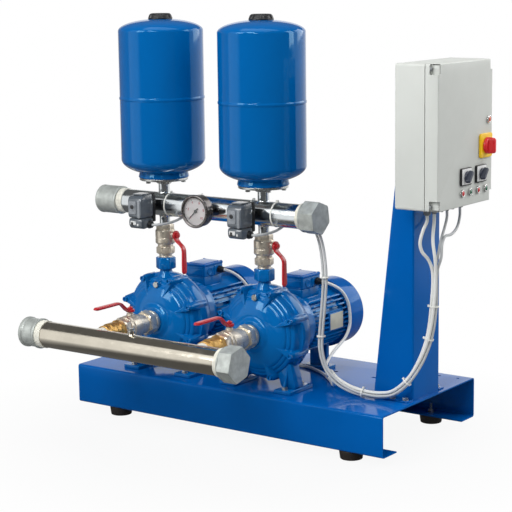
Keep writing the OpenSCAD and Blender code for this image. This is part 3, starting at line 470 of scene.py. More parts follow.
def block(low, high, r=2.0, axis="z", end=None):
    """Box with rounded edges: rounded loops stacked along the axis, drawn in along a quarter
    circle at both ends."""
    low, high = np.asarray(low, float), np.asarray(high, float)
    size, heart = high - low, (low + high) / 2
    first, second, third = {"x": (1, 2, 0), "y": (2, 0, 1), "z": (0, 1, 2)}[axis]
    end = r if end is None else end
    q = np.radians(np.linspace(0, 90, 5))
    inset = np.concatenate([end * (1 - np.sin(q)), end * (1 - np.sin(q[::-1]))])
    place = np.concatenate([low[third] + end * (1 - np.cos(q)), high[third] - end * (1 - np.cos(q[::-1]))])
    loops = np.stack([ring_of(size[first] - 2 * d, size[second] - 2 * d, max(r - d, 0.15)) for d in inset])
    out = np.empty((*loops.shape[:2], 3))
    out[..., first], out[..., second] = loops[..., 0] + heart[first], loops[..., 1] + heart[second]
    out[..., third] = place[:, None]
    return out


post = np.stack([post_ring(138, base_h), post_ring(30, post_top)])
tabs = [block((panel_x - 90, y0, base_h), (panel_x, y1, base_h + 4), 1.0) for y0,
        y1 in ((172, 201), (359, 388))]
add("panel_post", [post, *tabs], enamel, "blue_paint", "panel_post")

# Bolts: zinc-plated hexagon heads on washers hold the pump feet and the post, with nuts under
# the base sheet, and six small ones hold each tank's counter flange.
axis_h, pump_x, port_y, flange_z = 176.0, (298.0, 692.0), 110.0, 757.0
axis_z = base_h + axis_h
pump_bolts = [(px + s, y, 12) for px in pump_x for s in (-106, 106) for y in (64, 152)]
post_bolts = [(x, y, 4) for x in (panel_x - 62, panel_x - 18) for y in (post_y0 - 14, post_y1 + 14)]
bolts = []
for x, y, pad in pump_bolts + post_bolts:
    on_pad, on_base = (x, y, base_h + pad), (x, y, base_h)
    bolts += [lathe([[0, 0], [10.5, 0], [10.5, 1.8], [0, 1.8]], 0.4, on_pad, "z", 40),
              nut(17, 1.8, 8, on_pad, "z", 25), nut(17, -14, -4, on_base, "z", 25),
              threaded(5.0, -18, -4, 1.5, on_base, "z")]
for px in pump_x:
    for a in np.radians(np.arange(6) * 60 + 20):
        under_flange = (px + 66 * np.cos(a), port_y + 66 * np.sin(a), flange_z)
        bolts.append(nut(13, -7, 0, under_flange, "z", 10))
add("base_bolts", bolts, zinc, "zinc", "base_bolts")

# Pump casings: heavy iron castings, each a dome with stepped shoulders between eight wing-shaped
# screw ears, a hexagon port on top, a vent boss and two feet, all under thick blue enamel.
casing_y0, casing_y1, casing_r, screw_r, lobe_r = 34.0, 130.0, 150.0, 142.0, 12.6
ears = np.radians(22.5 + 45 * np.arange(8))
cast_enamel = finish("cast_enamel", (0, 98, 170), 0.11, patch=(6.0, 0.06), rub=0.3, grain=(110.0, 0.25, 0.22),
                     Specular_IOR_Level=0.3, Specular_Tint=blue_sheen, Coat_Weight=0.3, Coat_Roughness=0.03)


def off_ear(t):
    """Angle from the nearest ear."""
    return np.mod(t - ears[0] + np.pi / 8, np.pi / 4) - np.pi / 8


def ear_gap(r, t):
    """Distance in millimetres outside the nearest ear's outline, a wedge that widens from the
    dome into a round end at the screw, negative inside it."""
    u, v = r * np.cos(off_ear(t)), np.abs(r * np.sin(off_ear(t)))
    wide = np.interp(u, [86, 96, 128, 142], [0.5, 2.4, 8.4, 10.2])
    wedge = np.maximum(v - wide, u - screw_r)
    tip = np.hypot(u - screw_r, v) - 11.0
    return np.minimum(wedge, tip)


def smooth_min(a, b, k):
    """Lesser of two heights with a fillet of about k where they cross."""
    h = np.clip(0.5 + 0.5 * (b - a) / k, 0, 1)
    return b * (1 - h) + a * h - k * h * (1 - h)


def rim(t):
    """Outer radius of the flange: a circle, with the ears' round ends standing out."""
    along, across = screw_r * np.cos(off_ear(t)), screw_r * np.sin(off_ear(t))
    lobe = along + np.sqrt(np.maximum(lobe_r ** 2 - across ** 2, 0))
    return np.maximum(casing_r, np.where(np.abs(across) < lobe_r, lobe, 0))


def casing(px):
    """Front of the casing as a height over the plane of radius and angle: hub, dome, three bevelled
    steps, ears and boss cut by smooth minima, then the rim drawn straight back to the parting plane."""
    t = np.linspace(0, 2 * np.pi, 720, endpoint=False)[None]
    steps = np.array([
        [105.4, 58.0], [106.6, 58.8], [107.4, 59.5], [109.4, 60.9], [111.2, 62.2], [111.7, 63.0],
        [112.1, 65.4], [112.8, 66.2], [114, 66.5], [118.6, 66.9], [119.4, 67.4], [121.4, 68.8],
        [123.2, 70.1], [123.7, 70.9], [124.1, 73.2], [124.8, 74.0], [126, 74.3], [130.2, 74.7],
        [131, 75.2], [133, 76.6], [134.8, 77.9], [135.6, 79.2], [136.6, 84], [138, 92], [139.6, 98],
        [142, 101.4], [148.5, 103]])
    hub = np.array([[33, casing_y0], [45, casing_y0 + 0.4], [48, 37], [54, 42.2], [57.5, 44.3]])
    r = np.concatenate([[33, 43, 45, 46.5, 48, 51, 54, 57.5], np.linspace(60, 104.5, 20), steps[:, 0]])
    edge = rim(t)
    last = steps[-1, 0]
    tail = last + (edge - last) * np.array([0.4, 0.8, 1.0])[:, None]
    r = np.concatenate([np.broadcast_to(r[:, None], (len(r), t.shape[1])), tail])
    dome = 44.2 + 15.4 * ((r - 54) / 54) ** 2
    dome = np.where(r > 105, np.interp(r, *steps.T), dome)
    dome = np.where(r < 58, np.interp(r, *hub.T), dome)
    ear = 50.6 + 0.16 * (r - 90) + 9.0 * np.maximum(ear_gap(r, t), 0)
    ear = ear + 0.4 * np.maximum(r - casing_r, 0) ** 1.5
    boss = 60 + 6.0 * np.maximum(np.hypot(r * np.cos(t), r * np.sin(t) - 116) - 12, 0)
    front = smooth_min(smooth_min(dome, ear, 2.0), boss, 2.5)
    front[-1] += 1.6
    brim = front[-1:]
    rows = np.concatenate([front, np.maximum(brim, 115), np.maximum(brim, 117.5), casing_y1 + 0 * t])
    r = np.concatenate([r, edge + 0.4, edge - 2.6, edge - 2.6])
    return np.stack([px + r * np.cos(t), rows, axis_z + r * np.sin(t)], -1)


def slab(outline, low, high, axis, soft=2.0):
    """Plate of a closed outline with its edges eased: the end loops shrink towards the middle of
    the outline by the soft width."""
    outline = soften(outline, 3 * soft, 3, closed=True)
    heart = outline.mean(0)
    inset = soft / np.linalg.norm(outline - heart, axis=1).mean()
    shrink = np.array([1 - inset, 1 - 0.3 * inset, 1, 1, 1 - 0.3 * inset, 1 - inset])
    place = np.array([low, low + 0.3 * soft, low + soft, high - soft, high - 0.3 * soft, high])
    loops = heart + (outline - heart)[None] * shrink[:, None, None]
    a, b = loops[..., 0], loops[..., 1]
    return laid(axis, a, b, np.broadcast_to(place[:, None], a.shape))


port_low, port_high = axis_z + casing_r + 12, axis_z + casing_r + 50
neck = [[34, axis_z + 128], [24, axis_z + 146], [19.5, axis_z + 154], [19, port_low + 2]]
port = [(port_low, 27.5), (port_low + 2.5, 32.4), (port_high - 2.5, 32.4), (port_high, 28)]
web = [[64, base_h + 11], [84, axis_z - 104], [126, axis_z - 104], [152, base_h + 11]]
for number, px in enumerate(pump_x, 1):
    shells = [casing(px), lathe(neck, 6.0, (px, port_y, 0), "z", 48), hexed(57, port, (px, port_y, 0), "z")]
    for s in (-1, 1):
        leg = [[px + s * 58, axis_z - 112], [px + s * 112, axis_z - 84], [px + s * 122, axis_z - 120],
               [px + s * 133, base_h + 11], [px + s * 78, base_h + 11], [px + s * 70, axis_z - 140]]
        pad_x = px + s * 106
        shells += [slab(leg, 84, 128, "y", 3.0),
                   block((pad_x - 32, 46, base_h), (pad_x + 32, 172, base_h + 12), 5.0, "z", 2.0),
                   slab(web, px + s * 100 - 4, px + s * 100 + 4, "x", 1.5)]
    add(f"pump_casing_{number}", shells, cast_enamel, "blue_paint", f"pump_casing_{number}", sharp=50)

# Lanterns: the iron pieces that join each casing to its motor, with the same screw ears on their
# flange and a stepped, tapering drum behind it. A fine parting line shows between the two castings.
t = np.linspace(0, 2 * np.pi, 720, endpoint=False)[None]
drum = soften([[128, 154], [124.5, 180], [113, 188], [100, 212], [97, 240]], 5.0)
ring_r = np.concatenate([rim(t) - 6, rim(t) - 5, rim(t) - 5, rim(t) - 7, np.minimum(rim(t), casing_r) - 9,
                         drum[:, :1] + 0 * t])
ring_y = np.concatenate([[casing_y1 + 0.2, casing_y1 + 1, 147.5, 150, 151.5], drum[:, 1]])[:, None] + 0 * t
lanterns = [np.stack([px + ring_r * np.cos(t), ring_y, axis_z + ring_r * np.sin(t)], -1) for px in pump_x]
add("pump_lanterns", lanterns, cast_enamel, "blue_paint", "pump_lanterns", sharp=40)

# Casing screws: steel socket head screws, one through each ear into the lantern's flange, painted
# over with the castings.
head = soften([[0, 55], [4.6, 55], [4.8, 50.4], [7.6, 50], [8.5, 51], [8.5, 59.2], [0, 59.2]], 0.6, 3)
screws = [turned(head, (px + screw_r * np.cos(a), 0, axis_z + screw_r * np.sin(a)), "y", 30)
          for px in pump_x for a in ears]
add("casing_screws", screws, cast_enamel, "blue_paint", "casing_screws")

# Vent plugs: small bright zinc-plated hexagon plugs, screwed into the casings' vent bosses and, on
# a washer, into the socket on top of the suction manifold.
suct_y, suct_r, boss_x = -295.0, 41.0, 490.0
on_pipe = (boss_x, suct_y, axis_z + suct_r)
plugs = [nut(18, 52, 60, (px, 0, axis_z + 116), "y", 8) for px in pump_x]
plugs += [nut(15.6, 14, 20, on_pipe, "z", 14),
          lathe([[0, 10], [11, 10], [11, 14], [0, 14]], 0.8, on_pipe, "z", 36)]
add("vent_plugs", plugs, zinc, "zinc", "vent_plugs")

# Motors: aluminium bodies with lengthwise cooling fins, a flange at the drive end, a flat for the
# plate, a pedestal under the terminal box and a bracket down to the base.
fin_r, core_r, fin_pitch = 102.0, 87.0, 9.0
t = np.linspace(0, 2 * np.pi, 1080, endpoint=False)[None]
wave = np.abs(np.mod(np.degrees(t) / fin_pitch + 0.5, 1.0) - 0.5) * fin_pitch
fin = np.clip((2.3 - wave) / 0.9, 0, 1) * ((np.degrees(t) < 50) | (np.degrees(t) > 130))
place, plain, tall = np.array([
    [240, 96, 0], [251, 96, 0], [252, 95, 0], [255.5, 88, 0], [256, core_r, 0.5], [258, core_r, 0.85],
    [262, core_r, 1], [434, core_r, 1], [437.5, core_r, 1], [438, 109, 0], [449, 109, 0],
    [450, 107.6, 0]]).T[:, :, None]
r = plain + tall * fin * (fin_r - core_r)
motors = []
for px in pump_x:
    motors += [np.stack([px + r * np.cos(t), place + 0 * t, axis_z + r * np.sin(t)], -1),
               block((px - 37, 262, axis_z + 60), (px + 37, 360, axis_z + 110), 4.0),
               block((px + 80, 322, axis_z - 30), (px + fin_r, 402, axis_z + 28), 2.0, "x"),
               block((px - 26, 396, base_h), (px + 40, 412, axis_z - 80), 2.0, "z", 0.5),
               block((px - 40, 378, base_h), (px + 54, 430, base_h + 10), 3.0, "z", 1.5)]
add("motor_bodies", motors, cast_enamel, "blue_paint", "motor_bodies", sharp=30)

# Terminal boxes: cast boxes on the pedestals with a flanged lid, four corner screws, a blind
# knock-out beside the cable gland and a raised rim.
boxes, lids = [], []
knock_out = [[0, 40], [14, 40], [14, 42], [9, 42], [9, 41], [0, 41]]
for px in pump_x:
    boxes += [block((px - 40, 260, axis_z + 110), (px + 40, 363, axis_z + 144), 5.0, "z", 1.0),
              lathe(knock_out, 0.5, (px, 292, axis_z + 126), "x", 36),
              block((px + 38, 314, axis_z + 111), (px + 42.5, 322, axis_z + 143), 1.5, "x"),
              block((px - 34, 257.6, axis_z + 116), (px + 34, 262, axis_z + 138), 1.5, "y")]
    lids += [block((px - 41, 259, axis_z + 144), (px + 41, 364, axis_z + 152), 5.0, "z", 2.0),
             block((px - 32, 268, axis_z + 151), (px + 32, 355, axis_z + 154), 8.0, "z", 1.2)]
    lids += [lathe([[0, 151], [4, 151], [4, 153.6], [0, 154]], 0.6, (px + s * 35.5, y, axis_z), "z", 20)
             for s in (-1, 1) for y in (265, 358)]
add("terminal_boxes", boxes, cast_enamel, "blue_paint", "terminal_boxes")
add("terminal_lids", lids, enamel, "blue_paint", "terminal_lids")

# Cable glands of the motors: black nylon, screwed into the terminal boxes, each a hexagon against
# the box and a domed clamping nut around the cable.
nylon = finish("black_nylon", (30, 31, 33), 0.38, patch=(40.0, 0.15), grain=(1200.0, 0.10, 0.04))
glands = []
for px in pump_x:
    heart = (px, 341, axis_z + 126)
    glands += [nut(22.5, 40, 50, heart, "x", 5),
               hexed(19, [(50, 9.6), (57, 9.8), (61, 8.6), (62.5, 6.4)], heart, "x", 20),
               turned([[5.9, 62.4], [6.6, 62.4], [6.6, 63.2], [5.9, 63.2]], heart, "x", 32)]
add("motor_glands", glands, nylon, "black_plastic", "motor_glands")

# Fan cowls: pressed steel drums over the fan end, with a rounded back that is pierced by rings of
# holes, and screwed to the motor's rear flange.
cowl_y0, cowl_y1, cowl_r = 436.0, 515.0, 112.0
cowl = soften([[cowl_r - 2.2, cowl_y0], [cowl_r, cowl_y0], [cowl_r, cowl_y1 - 4], [cowl_r - 12, cowl_y1],
               [0.01, cowl_y1], [0.01, cowl_y1 - 2.5], [cowl_r - 13, cowl_y1 - 2.5],
               [cowl_r - 2.2, cowl_y1 - 6]], 5.0, 6, closed=True)
cowl[:, 0] = np.maximum(cowl[:, 0], 0.0)
cowls = build("fan_cowls", [(turned(cowl, (px, 0, axis_z), "y", 96), "loop") for px in pump_x], enamel)
piercing = [[6, cowl_y1 - 6], [6, cowl_y1 + 3]]
vents = [turned(piercing, (px + ring * np.cos(a), 0, axis_z + ring * np.sin(a)), "y", 16)
         for px in pump_x for ring in (40, 58, 76) for a in np.radians(np.arange(0, 360, 30))]
fit(drilled(cowls, vents), "blue_paint", "fan_cowls")

# Plates on the motors: bare satin aluminium sheet, held on the motor's flat by four rivets at the
# corners.
satin = finish("satin_aluminium", (206, 204, 190), 0.42, metal=0.6, patch=(25.0, 0.08),
               grain=(1500.0, 0.08, 0.02))
rivet = [[0, 1], [2.2, 1], [1.8, 1.8], [0, 2]]
plates = []
for px in pump_x:
    x = px + fin_r
    plates.append(block((x, 326, axis_z - 27), (x + 1, 399, axis_z + 25), 2.0, "x", 0.3))
    plates += [lathe(rivet, 0.4, (x, y, z), "x", 16) for y in (330, 395) for z in (axis_z - 23, axis_z + 21)]
add("motor_plates", plates, satin, "plate", "rating_plates")

# Suction manifold: polished steel tube across the front with a welded stub to each check valve
# and a small socket on top for the plug.
suct_x0, suct_x1 = 95.0, 874.0
suct_axis = (0, suct_y, axis_z)
polished = finish("polished_pipe", (210, 203, 188), 0.15, metal=1.0, patch=(9.0, 0.06), rub=0.5,
                  grain=(900.0, 0.02, 0.02))


def pipe(r, first, last, heart):
    """Straight pipe along X: the section of its 3 mm wall swung round its axis."""
    return turned([[r, first], [r, last], [r - 3, last], [r - 3, first]], heart, "x", 96), "loop"


suction = [pipe(suct_r, suct_x0, suct_x1, suct_axis),
           lathe([[13, 37], [11, 41], [9.4, 44], [9, 51]], 2, (boss_x, suct_y, axis_z), "z", 40)]
suction += [lathe([[28, 36], [24.5, 42], [23, 46], [23, 55]], 2, (px, suct_y, axis_z), "y",
                  48) for px in pump_x]
add("suction_manifold", suction, polished, "pipe_steel", "suction_manifold")

# End sockets: galvanised malleable iron with beaded rims, screwed on the left ends and open for
# the site's pipes. Their inner threads show as fine rings.
deliv_x0, deliv_x1, deliv_r, deliv_z = 93.0, 884.0, 38.0, 677.0
deliv_axis = (0, port_y, deliv_z)
galvanised = finish("galvanised_iron", (182, 187, 183), 0.5, metal=0.5, patch=(45.0, 0.16), rub=0.3,
                    grain=(350.0, 0.30, 0.15))


def socket_ring(r, outside):
    """Closed profile of a socket on a pipe of radius r that ends at 0: the outside as given beyond
    that radius, then back along the pipe's seat, the stop ring and a bore whose thread zigzags to
    the mouth."""
    outside = np.array(outside) + [r, 0]
    mouth, end, bore = outside[0, 1], outside[-1, 1], r - 1
    place = np.arange(-6, mouth + 2, -1.15)
    thread = np.stack([bore + 0.9 * (np.arange(len(place)) % 2), place], -1)
    seat = [[r + 0.3, end], [r + 0.3, 0], [bore - 4, 0], [bore - 4, -5]]
    return np.concatenate([soften(outside, 1.4), seat, thread, [[bore + 1.5, mouth]]])


suct_socket = socket_ring(suct_r, [[0.6, -33], [5, -33], [6.5, -31], [6.5, -23], [3.5, -18], [3.5, 17],
                                   [6.5, 22], [6.5, 29], [5, 31], [0.3, 31]])
deliv_socket = socket_ring(deliv_r, [[0.6, -54], [6.4, -54], [8, -51.5], [8, -46], [7.4, -44], [7.4, 20],
                                     [8, 22], [8, 28], [6.6, 30], [0.3, 30]])
for line, ring, heart in (("suction", suct_socket, (suct_x0, suct_y, axis_z)),
                          ("delivery", deliv_socket, (deliv_x0, port_y, deliv_z))):
    add(f"{line}_socket", [(turned(ring, heart, "x", 96), "loop")], galvanised, "galvanised",
        f"{line}_coupling")

# End caps: galvanised cast iron hexagon caps with a round collar, screwed on the right ends of
# both pipes.
caps = []
for x1, axis_at, r, low, high, turn in ((suct_x1, suct_axis, suct_r, -28, 18, 43),
                                        (deliv_x1, deliv_axis, deliv_r, -32, 20, 10)):
    flats = 2 * (r + 14) * np.cos(np.pi / 6)
    heart = np.add(axis_at, (x1, 0, 0))
    collar = soften([[r + 0.3, low - 4], [r + 8.5, low - 4], [r + 9, low + 1], [r + 0.3, low + 1]], 1.0, 3,
                    closed=True)
    caps += [hexed(flats, [(low, r + 12.4), (low + 1.6, r + 13.9), (high - 1.4, r + 13.9),
                           (high - 0.4, r + 13.2), (high, r + 12.4)], heart, "x", turn),
             (turned(collar, heart, "x", 72), "loop")]
add("manifold_caps", caps, galvanised, "galvanised", "manifold_caps", sharp=26)

# Thread seals: pale sealing compound and tape wound on the pipe ends beside the sockets, the caps
# and the check valves.
seal = finish("pale_seal", (226, 224, 212), 0.7, patch=(70.0, 0.10), grain=(600.0, 0.5, 0.25))


def wrap(r, low, high, heart, axis="x", n=72):
    """Thin sleeve whose outside ripples with the windings of the tape."""
    place = np.linspace(low, high, 22)
    skin = np.stack([r + 1.55 + 0.35 * np.cos(np.arange(22) * 2.1), place], -1)
    return turned(np.concatenate([[[r + 0.1, low]], skin, [[r + 0.1, high]]]), heart, axis, n), "loop"


seals = [wrap(suct_r, suct_x0 + 31, suct_x0 + 53, suct_axis),
         wrap(suct_r, suct_x1 - 48, suct_x1 - 32, suct_axis),
         wrap(deliv_r, deliv_x0 + 30, deliv_x0 + 53, deliv_axis),
         wrap(deliv_r, deliv_x1 - 50, deliv_x1 - 36, deliv_axis)]
seals += [wrap(22, suct_y + suct_r + 14, -206, (px, 0, axis_z), "y", 48) for px in pump_x]
add("thread_seals", seals, seal, "pale_seal", "thread_sleeves")

# Check valves: turned brass bodies with a hexagon at the pump end and a grooved collar at the pipe
# end, screwed between the manifold's stubs and the suction valves.
brass = finish("turned_brass", (202, 160, 92), 0.38, metal=0.8, patch=(35.0, 0.12), rub=0.3,
               grain=(900.0, 0.04, 0.02))
check_body = [[0, -148], [30, -148], [31, -152], [31, -165], [30, -166.5], [31, -168], [31, -183], [27, -187],
              [27, -196], [28, -197.5], [28, -205], [26, -206], [0, -206]]
checks = []
for px in pump_x:
    heart = (px, 0, axis_z)
    checks += [nut(60, -150, -128, heart, "y", 15), lathe(check_body, 0.9, heart, "y")]
add("check_valves", checks, brass, "brass", "check_valves")

# Suction valves: nickel-plated ball valves, a round body between a hexagon end and the union,
# with a stem boss on top.
nickel = finish("nickel_plate", (222, 213, 196), 0.36, metal=0.75, patch=(40.0, 0.12), rub=0.35,
                grain=(800.0, 0.06, 0.03))
ball_y = -74.0
valve_body = [[0, -36], [33.5, -36], [36, -38.5], [36, -54], [40, -57], [40, -92], [37, -95], [37, -104],
              [0, -104]]
stem_boss = [[0, 30], [16, 30], [12.5, 40], [12, 44], [11, 46], [0, 46]]
valves = []
for px in pump_x:
    heart = (px, 0, axis_z)
    valves += [lathe(valve_body, 1.6, heart, "y"), nut(67.5, -128, -103, heart, "y", 15),
               lathe(stem_boss, 1.2, (px, ball_y, axis_z), "z", 40)]
add("suction_valves", valves, nickel, "nickel", "suction_valves")

# Valve unions: nickel-plated brass nuts and tailpieces, screwed between the casings' ports and the
# ball valves.
unions = []
for px in pump_x:
    heart, on_port = (px, 0, axis_z), (px, port_y, port_high)
    unions += [lathe([[0, 34], [32.5, 34], [36, 29], [37, 26], [37, 18], [34, 16], [0, 16]], 1.5, heart, "y"),
               nut(71, -14, 17, heart, "y", 10),
               lathe([[0, -36], [31, -36], [32, -34], [32, -13], [0, -13]], 1, heart, "y"),
               lathe([[0, 0], [21, 0], [21, 3], [20, 4], [21, 5], [21, 12], [0, 12]], 0.8, on_port, "z", 60),
               nut(52, 11, 35, on_port, "z", 12),
               lathe([[0, 34], [24, 34], [25, 36], [25, 43], [24, 44], [0, 44]], 0.8, on_port, "z", 60)]
add("valve_unions", unions, nickel, "nickel", "valve_unions")

# Delivery valves: the same make one size smaller, standing on the unions, with a grooved round
# waist and a hexagon under the manifold's riser.
valve_z = port_high + 44
ball_z, stub_z = valve_z + 30, valve_z + 64
riser_body = [[0, 0], [28.5, 0], [32, 4], [32, 18], [31, 20], [32, 22], [32, 44], [28, 48], [0, 48]]
side_boss = [[0, 24], [13, 24], [10.6, 32], [10, 36], [9.4, 37], [0, 37]]
risers = []
for px in pump_x:
    heart = (px, port_y, valve_z)
    risers += [lathe(riser_body, 1.4, heart), nut(50.2, 45, stub_z - valve_z, heart, "z", 10),
               lathe(side_boss, 1.0, (px, port_y, ball_z), "x", 40)]
add("delivery_valves", risers, nickel, "nickel", "delivery_valves")

# Levers: flat steel handles dipped in red plastic, cranked clear of the valve, with a round eye on
# the stem under a nut that is dipped as well.
dipped = finish("red_dip", (190, 28, 36), 0.30, patch=(30.0, 0.06), grain=(220.0, 0.12, 0.10),
                Coat_Weight=0.4, Coat_Roughness=0.1)


def handle(height, rise, crank, length, wide, thick):
    """Lever in its own plane: a rounded bar section carried along a cranked line, its width
    swelling at the eye and at the grip, in the axes across, along and up."""
    line = np.array([[8, height], [-14, height], [-crank, height + rise], [-length, height + rise]])
    line = soften(line + [0, thick / 2], 12, 8)
    way = np.gradient(line, axis=0)
    way /= np.linalg.norm(way, axis=1)[:, None]
    run = np.concatenate([[0], np.cumsum(np.linalg.norm(np.diff(line, axis=0), axis=1))])
    even = np.linspace(0, run[-1], 60)
    line, way = (np.stack([np.interp(even, run, q[:, k]) for k in (0, 1)], -1) for q in (line, way))
    s = np.linspace(0, 1, 60)
    width = wide * np.interp(s, [0, 0.12, 0.3, 0.45, 0.8, 0.95, 1], [1.0, 1.05, 0.8, 0.86, 1.0, 0.98, 0.5])
    thick = thick * np.interp(s, [0, 0.3, 0.45, 0.97, 1], [0.8, 0.8, 1.0, 1.0, 0.6])
    loop = ring_of(1.0, 1.0, 0.30, 5)
    across = loop[None, :, 0] * width[:, None]
    off = loop[None, :, 1] * thick[:, None]
    along = line[:, None, 0] - off * way[:, None, 1]
    up = line[:, None, 1] + off * way[:, None, 0]
    return np.stack([across, along, up], -1)


def lever(height, rise, crank, length, wide, thick):
    """Handle with its eye and its nut."""
    r, foot_of = 0.66 * wide, (0, 0, height)
    return [handle(height, rise, crank, length, wide, thick),
            lathe([[0, 0], [r, 0], [r + 0.4, 4], [r, 8.4], [0, 8.4]], 1.5, foot_of, n=48),
            nut(wide * 0.74, 8, 15, foot_of, "z", 20),
            lathe([[0, 15], [3.8, 15], [3.4, 17.5], [0, 18]], 0.8, foot_of, n=24)]


for number, px in enumerate(pump_x, 1):
    flat = [s + np.array([px, ball_y, axis_z]) for s in lever(50, 32, 50, 168, 21, 9.0)]
    upright = [s[..., [2, 0, 1]] + np.array([px, port_y, ball_z]) for s in lever(40, 32, 40, 124, 22, 8.0)]
    for line, shells in (("suction", flat), ("delivery", upright)):
        add(f"{line}_lever_{number}", shells, dipped, "red_lever", f"{line}_lever_{number}",
            body=f"{line}_handle_{number}")

# Delivery manifold: polished steel tube under the tanks with a riser and a tank socket at each
# pump, and three small sockets in front for the switches and the gauge.
gauge_x, switch_x = 487.0, (276.0, 670.0)
bright_pipe = finish("bright_pipe", (214, 219, 221), 0.17, metal=1.0, patch=(9.0, 0.06), rub=0.5,
                     grain=(900.0, 0.02, 0.02))
delivery = [pipe(deliv_r, deliv_x0, deliv_x1, deliv_axis)]
for px in pump_x:
    heart = (px, port_y, deliv_z)
    delivery += [lathe([[24, 31], [20, 36], [18, 40], [18, flange_z - deliv_z - 12]], 2, heart, "z", 48),
                 lathe([[23, -30], [19, -35], [17, -40], [17, stub_z - deliv_z]], 2, heart, "z", 48)]
delivery += [lathe([[13, -33], [11, -38], [10, -40], [10, -deliv_r - 6]], 1, (x, port_y, deliv_z), "y", 32)
             for x in (*switch_x, gauge_x)]
add("delivery_manifold", delivery, bright_pipe, "pipe_steel", "delivery_manifold")

# Tanks: steel membrane tanks drawn in two halves and joined by a seam bead, with elliptical ends,
# a short neck, and a smooth blue coat.
tank_r, tank_h, tank_z, crown, dish = 135.0, 509.0, flange_z + 8, 42.0, 53.0
q = np.radians(np.linspace(0, 90, 30))
shoulder = np.stack([tank_r * np.cos(q), tank_h - crown + (crown - 4) * np.sin(q)], -1)
q = np.radians(np.linspace(0, 54.6, 20))
underside = np.stack([tank_r * np.cos(q), 61 - dish * np.sin(q)], -1)[::-1]
seam = soften([[tank_r, 220], [tank_r, 250], [tank_r + 1.8, 253], [tank_r + 1.8, 258], [tank_r, 261],
               [tank_r, 300]], 2.0)
tank_neck = soften([[0, 0], [79, 0], [81, 2], [80.6, 6], [78.2, 16], underside[0]], 2.5)
tank = np.concatenate([tank_neck, underside[1:], seam, shoulder])
tank_enamel = finish("tank_enamel", (0, 91, 160), 0.07, patch=(3.0, 0.03), rub=0.2, grain=(45.0, 0.05, 0.12),
                     Specular_IOR_Level=0.35, Specular_Tint=blue_sheen, Coat_Weight=0.16, Coat_Roughness=0.03)
tanks = [turned(tank, (px, port_y, tank_z), "z", 144) for px in pump_x]
add("tank_shells", tanks, tank_enamel, "blue_paint", "tank_shells", sharp=40)

# Counter flanges: round zinc-plated steel plates, bolted under the tanks' necks, with a hexagon
# socket for the riser.
flanges = []
for px in pump_x:
    heart = (px, port_y, flange_z)
    flanges += [lathe([[0, 0], [77, 0], [78, 1], [78, 7], [77, 8], [0, 8]], 1.0, heart, "z", 96),
                nut(45, -12, 1, heart, "z", 8)]
add("tank_flanges", flanges, zinc, "galvanised", "tank_flanges")

# Tank caps: black moulded plastic caps, pressed over the filling valves on top of the tanks, with
# a scalloped grip.
t = np.linspace(0, 2 * np.pi, 216, endpoint=False)[None]
scallop = np.clip(np.cos(7 * t) * 1.8 - 0.5, 0, 1)
level, r, bite = np.array([
    [-8, 37, 0], [-3.4, 38.6, 0], [-1.6, 38.6, 0], [-0.4, 37.6, 0.7], [5, 36, 1], [9, 33.6, 1],
    [11.6, 30.5, 0.8], [12.6, 27, 0.4], [11.6, 20, 0], [11.2, 0, 0]]).T[:, :, None]
r = r - 4.6 * bite * scallop
cap_tops = [np.stack([px + r * np.cos(t), port_y + r * np.sin(t), tank_z + tank_h + level + 0 * t], -1)
            for px in pump_x]
add("tank_caps", cap_tops, nylon, "black_plastic", "tank_caps", sharp=40)

# Pressure switches: smoked grey mouldings, each a cover with a screw well over a body with two small windows,
# on a black plate with a gland for its cable low on the right. The cover's front faces and the rim of its
# well are a paler copy of the moulding, which paints the light on the front and a highlight band near its
# right edge.
smoke = finish("smoked_moulding", (90, 97, 104), 0.2, patch=(22.0, 0.16), grain=(300.0, 0.06, 0.05),
               Coat_Weight=0.6, Coat_Roughness=0.08)
# A paler copy of the smoked moulding: painted light on the switches' lit fronts and a painted highlight band.
lit_front_face = finish("smoked_face_painted_lit", (130, 135, 141), 0.26, patch=(30.0, 0.12), grain=(300.0, 0.06, 0.05),
                   Coat_Weight=0.5, Coat_Roughness=0.1)
